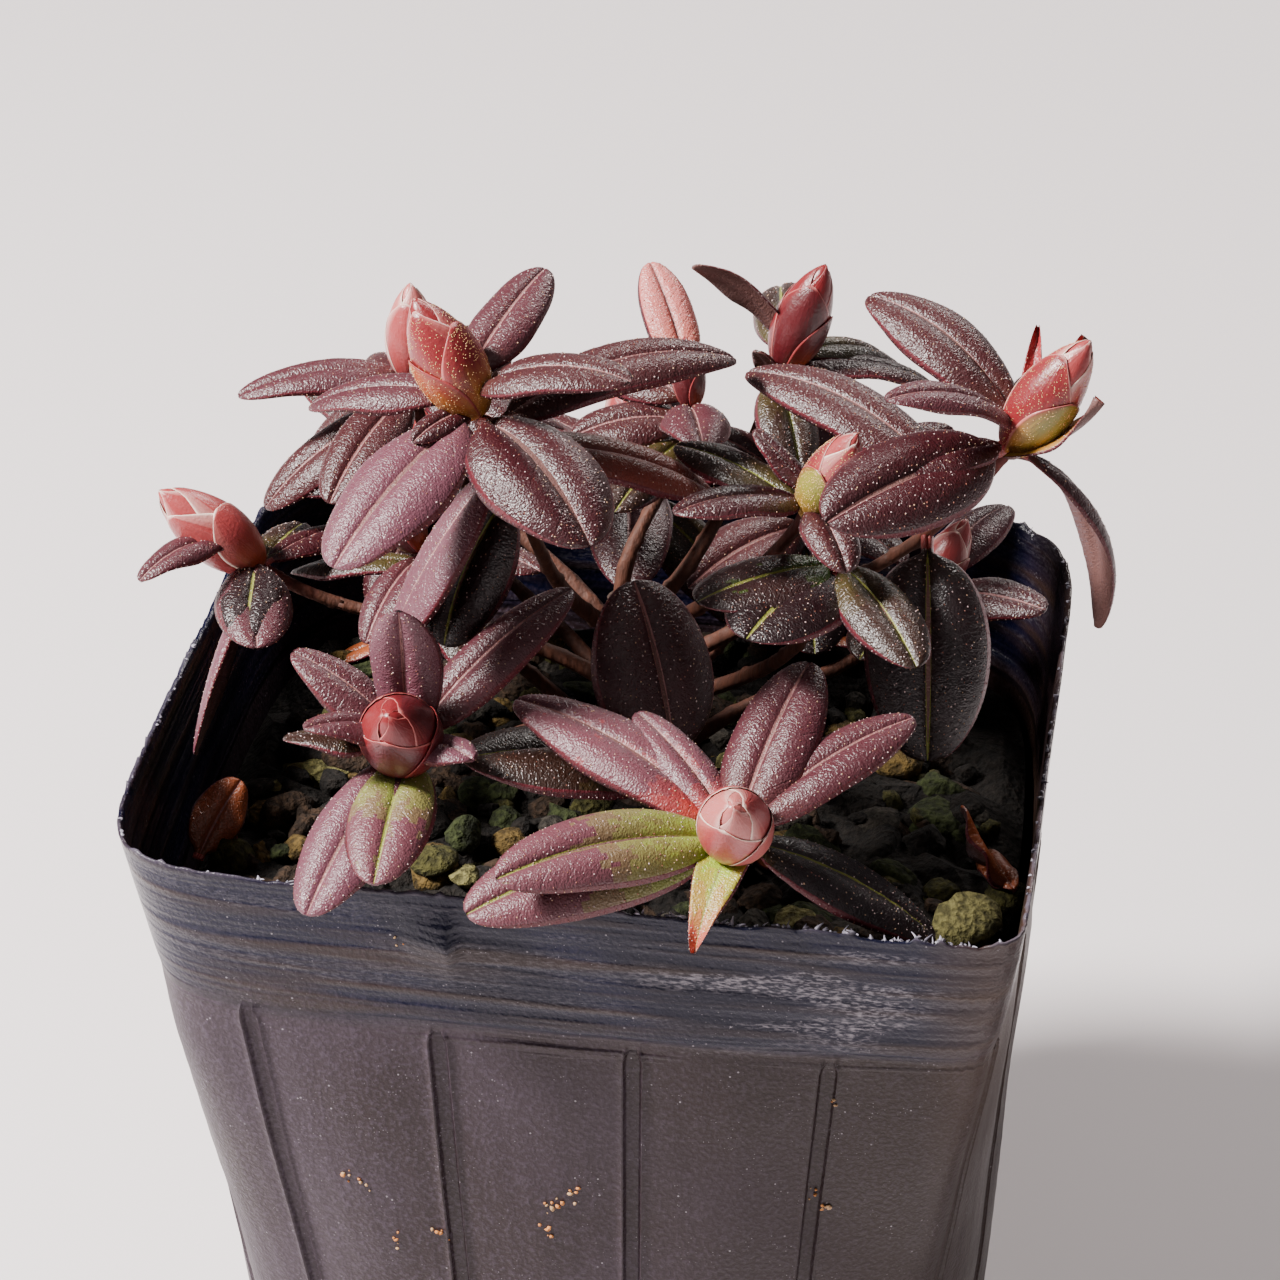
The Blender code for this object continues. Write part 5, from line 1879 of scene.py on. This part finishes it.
# Dust, and painted sheen where it lies thicker on the lit left side
FILM_DUST_AND_SHEEN = (0.0900, 0.0680, 0.1000)
FILM_SPECK = (0.4200, 0.3900, 0.4300)
# Pale torn lip: partly the film's own pale edge, partly a painted highlight
FILM_LIP_AND_HIGHLIGHT = (0.0900, 0.0780, 0.1050)

# Where the marks begin and end, in metres from the pot's middle or up it, as nodes read it
# Where the painted shade on the right side begins and ends
RIGHT_SHADE_SIDE = (0.004, 0.030)
BAND_EDGE = (0.0640, 0.0656)
BAND_RAGGED = 0.006
BAND_GLOSS = (0.0610, 0.0650)
# Where the painted tan reflection lies
TAN_REFLECTION_SIDE = (0.032, 0.038)
TAN_REFLECTION_RISE = (0.036, 0.062)
DUST_RISE = (0.060, 0.066)
# More dust towards the left, partly painted sheen of the lit side
DUST_AND_SHEEN_SIDE = (-0.035, 0.028)
LIP_RISE = (0.0759, 0.0764)
SCUFF_SIDES = (0.011, 0.032)
SCUFF_RISE = (0.0630, 0.0735)
SCUFF_DEPTH = (-0.030, -0.033)
SCUFF_LOW = (0.0640, 0.0660)

# How strongly the scuffed part of the band is turned white, and the rest of it
SCUFF_SHARES = (0.48, 0.10)

# How far each noise is drawn out along the band
STREAK_STRETCH = (0.05, 0.05, 1.0)
STRIP_STRETCH = (0.12, 0.12, 1.0)
GRAIN_STRETCH = (0.30, 0.30, 1.0)


def within(tree, value, low, high, soft):
    """One between two limits, with soft ends."""
    up = ranged(tree, value, low - soft, low + soft)
    down = ranged(tree, value, high - soft, high + soft, 1.0, 0.0)
    return maths(tree, "MULTIPLY", up, down)


def scuff_mask(tree, axes):
    """Where the band is scuffed white: grainy level strips, most of them on one part of its front."""
    grainy = ranged(tree, noise_node(tree, place_node(tree, GRAIN_STRETCH), 5200.0, 5.0), 0.46, 0.70)
    strips = ranged(tree, noise_node(tree, place_node(tree, STRIP_STRETCH), 520.0, 2.0), 0.46, 0.58)
    wide = within(tree, axes["X"], *SCUFF_SIDES, 0.004)
    tall = within(tree, axes["Z"], *SCUFF_RISE, 0.002)
    front = ranged(tree, axes["Y"], *SCUFF_DEPTH)
    most, least = SCUFF_SHARES
    rest = ranged(tree, axes["Z"], *SCUFF_LOW, 0.0, least)
    share = maths(tree, "ADD", product(tree, wide, tall, front, most), rest)
    return product(tree, grainy, share, strips)


def speck_mask(tree, place):
    """Pale specks in patches: the middles of large and of fine cells."""
    few = ranged(tree, noise_node(tree, place, 260.0), 0.50, 0.60)
    large = ranged(tree, cells_node(tree, place, 900.0), 0.06, 0.10, 0.6, 0.0)
    fine = ranged(tree, cells_node(tree, place, 2300.0), 0.08, 0.14, 0.4, 0.0)
    return product(tree, maths(tree, "MAXIMUM", large, fine), few)


def dust_and_sheen_mask(tree, axes, mottle):
    """Fine dust with painted sheen: less on the band, and less towards the right side so that
    the lit left side is paler, broken up by a mottle.
    """
    less = ranged(tree, axes["Z"], *DUST_RISE, 0.50, 0.10)
    left = ranged(tree, axes["X"], *DUST_AND_SHEEN_SIDE, 1.0, 0.35)
    return product(tree, less, left, ranged(tree, mottle, 0.46, 0.70))


def film_paint():
    """Black film: brown-grey body with painted shade to the right, blue-black band, then a
    painted tan reflection, dust and painted sheen, scuffs, specks and a pale torn lip that is
    partly a painted highlight.
    """
    paint, tree, shader = new_paint("film", FILM_BROWN, 0.4)
    place = place_node(tree)
    axes = axes_of(tree, place)
    streaks = noise_node(tree, place_node(tree, STREAK_STRETCH), 620.0, 2.0)
    patches = noise_node(tree, place, 60.0, 3.0)
    mottle = noise_node(tree, place, 2600.0, 3.0)
    body = mixed(tree, ranged(tree, patches, 0.38, 0.62), FILM_BROWN, FILM_GREY)
    # Painted shade, darker and browner towards the right side
    body = mixed(tree, ranged(tree, axes["X"], *RIGHT_SHADE_SIDE), body, FILM_RIGHT_SHADE)
    band = mixed(tree, ranged(tree, streaks, 0.50, 0.66), FILM_DARK, FILM_STREAK)
    high = ranged(tree, maths(tree, "ADD", axes["Z"], product(tree, streaks, BAND_RAGGED)), *BAND_EDGE)
    # Painted reflection: warm tan on the right edge of the body
    tan_reflection = ranged(tree, axes["X"], *TAN_REFLECTION_SIDE, 0.0, 0.5)
    tan_reflection = product(tree, tan_reflection, ranged(tree, axes["Z"], *TAN_REFLECTION_RISE, 0.2, 1.0))
    colour = mixed(tree, high, body, band)
    colour = mixed(tree, tan_reflection, colour, FILM_TAN_REFLECTION)
    # Dust, thicker to the left as painted sheen
    colour = mixed(tree, dust_and_sheen_mask(tree, axes, mottle), colour, FILM_DUST_AND_SHEEN)
    colour = mixed(tree, scuff_mask(tree, axes), colour, FILM_SPECK)
    colour = mixed(tree, speck_mask(tree, place), colour, FILM_SPECK)
    # Pale lip, partly a painted highlight
    colour = mixed(tree, ranged(tree, axes["Z"], *LIP_RISE, 0.0, 0.8), colour, FILM_LIP_AND_HIGHLIGHT)
    tree.links.new(colour, shader.inputs["Base Color"])
    gloss = ranged(tree, axes["Z"], *BAND_GLOSS, 0.0, -0.15)
    rough = maths(tree, "ADD", ranged(tree, patches, 0.35, 0.65, 0.36, 0.50), gloss)
    tree.links.new(rough, shader.inputs["Roughness"])
    bumped(tree, shader, maths(tree, "ADD", product(tree, streaks, high, 6.0), mottle), 0.12, 0.9)
    shader.inputs["Specular IOR Level"].default_value = 0.24
    return numbered(paint)


FILM_PAINT = film_paint()
points, quads, maps = loop_skin(WALL_RINGS)
paints = np.full(len(quads), FILM_PAINT)
wall = mesh_piece("pot_wall", points, quads, np.zeros((0, 3), int), paints, maps)
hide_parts("pot")
print("pot wall faces", len(quads))

# %% [markdown]
# Tears and crumbs.  The rim was cut roughly, so short pale burrs stand on it, most of
# them in front, and crumbs of orange soil stick to the wall.  Each is a small closed
# shape set on the wall's own surface.

# %% Burrs and crumbs
BURR_COUNT = 190
BURR_FRONT = (0.975, 1.100)
BURR_FRONT_SHARE = 0.42
BURR_REACH = (0.12, 0.85)
BURR_THICK = 0.19
BURR_SIDES = 5
BURR_ROWS = 5
CRUMB_SPREAD = 0.9
CRUMB_SIZES = (0.09, 0.30)
CRUMB_ROWS = 3
CRUMB_SIDES = 6
BURR_COLOURS = {"burr_pale": (0.300, 0.280, 0.340), "burr_grey": (0.110, 0.100, 0.130)}
CRUMB_COLOURS = {"crumb_orange": (0.480, 0.190, 0.055), "crumb_tan": (0.400, 0.250, 0.130)}
BALL_CUTS = 9

# Share of the way round and height of each little heap of crumbs
CRUMB_HEAPS = (
    (0.928, 70.5), (0.899, 44.5), (0.906, 43.5), (0.972, 43.5), (0.981, 45.5), (0.971, 41.5), (0.975, 44.5),
    (0.062, 46.0), (0.067, 44.5), (0.915, 37.5), (0.931, 39.0), (0.065, 57.0), (0.44, 50.0), (0.61, 41.0),
)


def round_wall(place, rows):
    """First two values of the rows, read between them at a share of the way round."""
    return [np.interp(place, WALL_PLACES, rows[:, axis], period=1.0) for axis in range(2)]


def wall_spot(place, height):
    """Point on the wall's outer face and the way it faces, at a share of the way round."""
    line, normal = pot_section(height, 0.0)
    line = line + normal * (wall_relief(height) + rib_profile(height))[:, None]
    way = np.array([*round_wall(place, normal), 0.0])
    return np.array([*round_wall(place, line), height]), way / np.linalg.norm(way)


def burr_skin(chance, line, normal, paints):
    """Tapering tongue that rises from the lip and bends over at random."""
    place = chance.uniform(*BURR_FRONT) if chance.random() < BURR_FRONT_SHARE else chance.random()
    place = place % 1.0
    spot = np.array([*round_wall(place, line), POT_HEIGHT])
    way = np.array([*round_wall(place, normal), 0.0])
    spot[2] += np.interp(place, WALL_PLACES, RAGGED) - 0.12
    spot -= way * 0.15
    reach = chance.uniform(*BURR_REACH) * (1.0 if place < BURR_FRONT[1] % 1.0 or place > 0.9 else 0.6)
    bend = way * chance.uniform(-1.2, 1.6) + np.cross(way, UP) * chance.uniform(-1.4, 1.4)
    part = np.linspace(0.0, 1.0, BURR_ROWS)[:, None]
    path = spot + reach * (part * (0.0, 0.0, 0.6) + part ** 2 * bend * 0.7)
    radii = BURR_THICK * chance.uniform(0.6, 1.4) * (1.0 - 0.8 * part[:, 0])
    return rings_round(path, radii, BURR_SIDES), chance.choice(paints)


def ball_rings(centre, radius, rows, columns, chance):
    """Ball of rings pushed out of round by seeded flat cuts and stretched three ways."""
    polar = np.linspace(0.0, math.pi, rows + 2)[1:-1]
    turn = angles_round(columns)
    way = np.stack([
        np.sin(polar)[:, None] * np.cos(turn),
        np.sin(polar)[:, None] * np.sin(turn),
        np.cos(polar)[:, None] * np.ones(columns),
    ], axis=-1)
    cuts = chance.normal(size=(BALL_CUTS, 3))
    cuts /= np.linalg.norm(cuts, axis=1)[:, None]
    depth = chance.uniform(0.55, 0.95, BALL_CUTS)
    reach = np.min(depth / np.maximum(way @ cuts.T, 0.05), axis=-1)
    reach = np.minimum(reach, 1.15)[..., None]
    stretch = chance.uniform(0.7, 1.2, 3)
    stretch[2] *= 0.8
    return centre + way * reach * stretch * radius


def crumb_skins(paints):
    """Little heaps of crumbs on the wall."""
    chance = np.random.default_rng(23)
    skins = []
    for place, height in CRUMB_HEAPS:
        for _ in range(chance.integers(3, 8)):
            spread = chance.normal(0.0, CRUMB_SPREAD / 2.0, 2)
            spot, way = wall_spot(place + spread[0] / RIB_PITCH / POT_RIBS, height + spread[1])
            radius = chance.uniform(*CRUMB_SIZES)
            rings = ball_rings(spot + way * radius * 0.3, radius, CRUMB_ROWS, CRUMB_SIDES, chance)
            skins.append((rings, chance.choice(paints)))
    return skins


burr_paints = [plain_paint(title, colour, 0.45) for title, colour in BURR_COLOURS.items()]
crumb_paints = [plain_paint(title, colour, 0.85) for title, colour in CRUMB_COLOURS.items()]
chance = np.random.default_rng(29)
line, normal = pot_section(POT_HEIGHT, 0.0)
burrs = [burr_skin(chance, line, normal, burr_paints) for _ in range(BURR_COUNT)]
for title, skins in (("pot_burrs", burrs), ("pot_crumbs", crumb_skins(crumb_paints))):
    piece = joined_skins(title, skins)
    print(title, len(skins))

# %% [markdown]
# The pot's floor.  A thin disc with round drain holes, welded to the wall.  The holes
# could be cut out of a disc, but a flat curve with five outlines, filled and given a
# thickness, is exact and clean.

# %% Pot floor
FLOOR_RADIUS = 32.6
HOLE_RADIUS = 3.2
HOLE_RING = 17.0
HOLE_COUNT = 4
HOLE_TURN = 45.0
FLOOR_LOW = 0.3


def circle_spline(curve, centre, radius, count):
    """Closed straight-sided outline round a centre."""
    spline = curve.splines.new("POLY")
    spline.points.add(count - 1)
    angle = angles_round(count)
    flat = (np.array(centre)[:2] + radius * np.stack([np.cos(angle), np.sin(angle)], axis=1)) * MM
    points = np.column_stack([flat, np.zeros(count), np.ones(count)])
    spline.points.foreach_set("co", points.ravel())
    spline.use_cyclic_u = True


def pot_floor():
    """Disc with drain holes, from filled outlines, between its low face and the floor's height."""
    curve = bpy.data.curves.new("floor_outline", "CURVE")
    curve.dimensions = "2D"
    curve.fill_mode = "BOTH"
    curve.extrude = (POT_FLOOR - FLOOR_LOW) / 2.0 * MM
    circle_spline(curve, (0.0, 0.0), FLOOR_RADIUS, 96)
    for number in range(HOLE_COUNT):
        centre = facing(HOLE_TURN + 360.0 * number / HOLE_COUNT, 0.0) * HOLE_RING
        circle_spline(curve, centre, HOLE_RADIUS, 32)
    shape = shown("floor_outline", curve)
    bpy.context.view_layer.update()
    mesh = bpy.data.meshes.new_from_object(shape.evaluated_get(bpy.context.evaluated_depsgraph_get()))
    bpy.data.objects.remove(shape)
    points = np.zeros(len(mesh.vertices) * 3)
    mesh.vertices.foreach_get("co", points)
    points = points.reshape(-1, 3) + (0.0, 0.0, (POT_FLOOR + FLOOR_LOW) / 2.0 * MM)
    mesh.vertices.foreach_set("co", points.ravel())
    mesh.materials.clear()
    mesh.materials.append(PAINTS[FILM_PAINT])
    piece = shown("pot_base", mesh)
    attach(piece, "root")
    return piece


base = pot_floor()
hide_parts("pot")
print("faces of the floor", len(base.data.polygons))

# %% [markdown]
# Grit.  Pumice, fired clay and bark bits, from three to eight millimetres, some green
# with algae.  A bumpy sheet would look like soil, so the top is made of loose stones,
# each a ball of few faces pushed out of round, and the imported filling under them is
# painted nearly black as painted shade in the gaps between them.  Many of the stones
# are dark too, partly dark grains and partly painted shade.

# %% Grit
STONE_ROWS = 8
STONE_COLUMNS = 11
STONE_COUNT = 760
STONE_SIZES = (1.0, 3.6)
STONE_SEED = 19
STONE_EDGE = 0.93
PIT_SHADE = 0.35
STONE_COLOURS = {
    "stone_ochre": (0.120, 0.075, 0.020),
    "stone_brown": (0.040, 0.022, 0.012),
    # Dark stones: partly dark grains and partly painted shade; the same paint fills the gaps below
    "stone_dark_and_shade": (0.012, 0.009, 0.007),
    "stone_olive": (0.060, 0.055, 0.014),
    "stone_green": (0.034, 0.043, 0.013),
    "stone_sand": (0.200, 0.180, 0.065),
    "stone_grey": (0.045, 0.038, 0.030),
}
STONE_SHARES = (0.07, 0.25, 0.38, 0.12, 0.07, 0.03, 0.08)


def stone_paint(name, colour):
    """Rough crumbly stone with darker pits."""
    paint, tree, shader = new_paint(name, colour, 0.9)
    place = place_node(tree)
    grain = noise_node(tree, place, 1300.0, 6.0)
    pits = ranged(tree, grain, 0.40, 0.60)
    dark = tuple(value * PIT_SHADE for value in colour)
    tree.links.new(mixed(tree, pits, dark, colour), shader.inputs["Base Color"])
    bumped(tree, shader, grain, 1.3, 1.0)
    shader.inputs["Specular IOR Level"].default_value = 0.25
    return numbered(paint)


STONE_PAINTS = {name: stone_paint(name, colour) for name, colour in STONE_COLOURS.items()}

# Stones that can be told apart: place, radius and colour
NAMED_STONES = (
    ((34.0, -17.0, 64.0), 3.1, "stone_sand"),
    ((33.0, -25.0, 64.0), 2.6, "stone_ochre"),
    ((36.5, -9.0, 63.0), 2.4, "stone_olive"),
    ((-13.0, -10.0, 64.5), 2.0, "stone_green"),
    ((-14.5, -14.0, 64.0), 1.8, "stone_olive"),
    ((-11.5, -15.5, 63.5), 1.5, "stone_sand"),
    ((-33.0, -14.5, 62.8), 2.2, "stone_olive"),
    ((-27.0, -12.0, 62.8), 2.0, "stone_ochre"),
    ((24.0, 12.0, 63.2), 2.6, "stone_ochre"),
)


def stones():
    """Stones over the filling, each on the surface at a seeded place inside the wall."""
    chance = np.random.default_rng(STONE_SEED)
    edge, _ = pot_section(GRIT_TOP, POT_WALL)
    paints = list(STONE_PAINTS.values())
    skins = []
    for centre, radius, colour in NAMED_STONES:
        rings = ball_rings(np.array(centre), radius, STONE_ROWS, STONE_COLUMNS, chance)
        skins.append((rings, STONE_PAINTS[colour]))
    while len(skins) < STONE_COUNT:
        radius = chance.uniform(*STONE_SIZES) * chance.uniform(0.6, 1.0)
        rim = edge[chance.integers(len(edge))]
        spot = rim * math.sqrt(chance.random()) * (STONE_EDGE - radius / 60.0)
        if np.linalg.norm(spot - np.array(TRUNK_FOOT_AT)) < TRUNK_RADIUS + radius + 0.6:
            continue
        centre = np.array([*spot, GRIT_TOP + chance.uniform(-0.6, 1.3) - 0.25 * radius])
        paint = chance.choice(paints, p=STONE_SHARES)
        skins.append((ball_rings(centre, radius, STONE_ROWS, STONE_COLUMNS, chance), paint))
    return skins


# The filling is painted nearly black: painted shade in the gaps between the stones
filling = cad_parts["grit"].data
filling.materials.clear()
filling.materials.append(PAINTS[STONE_PAINTS["stone_dark_and_shade"]])
piece = joined_skins("grit_grains", stones())
print("stones", STONE_COUNT)

# %% [markdown]
# Fallen leaves.  A few dead leaves lie on the grit, curled and orange-brown.  They are
# the same blades, dried: the dead colouring, a stronger bend and more waves.

# %% Fallen leaves
DEAD_WAVE = 0.7
DEAD_TWIST = 2.0

# Base point, turn, rise, length, width, bend and roll of each dead leaf
FALLEN = (
    ((-35.7, -16.4, 63.2), 65, 52, 8.5, 4.8, 30, 40),
    ((-33.5, -15.0, 63.0), 100, 50, 6.5, 2.4, 60, -30),
    ((-35.0, -23.0, 64.2), 12, 4, 12.0, 4.5, 20, -20),
    ((37.5, -10.5, 64.0), 165, 35, 9.5, 4.5, -40, 25),
    ((33.0, -4.0, 63.5), -60, 25, 9.0, 3.0, 30, 30),
    ((-20.0, 26.0, 63.5), 200, 15, 12.0, 5.5, 40, 20),
    ((14.0, 30.0, 63.5), 20, 20, 12.0, 5.0, 40, -25),
    ((10.0, -6.0, 64.5), -30, 20, 9.0, 3.0, 50, 20),
)


def fallen_leaf(base, turn, rise, length, width, bend, roll, chance):
    """Look of a dead leaf: an unnamed leaf of the dead kind, with stronger waves and twist."""
    row = (0.0, turn, rise, length, width, bend, roll)
    look = leaf_look(row, np.array(base), "dead", False, UNTRIMMED, chance)
    look["wave"] = DEAD_WAVE
    look["twist"] *= DEAD_TWIST
    return look


chance = random.Random(41)
dead = [blade_skin(fallen_leaf(*leaf, chance)) for leaf in FALLEN]
piece = joined_skins("fallen_leaves", dead)
print("fallen leaves", len(FALLEN))
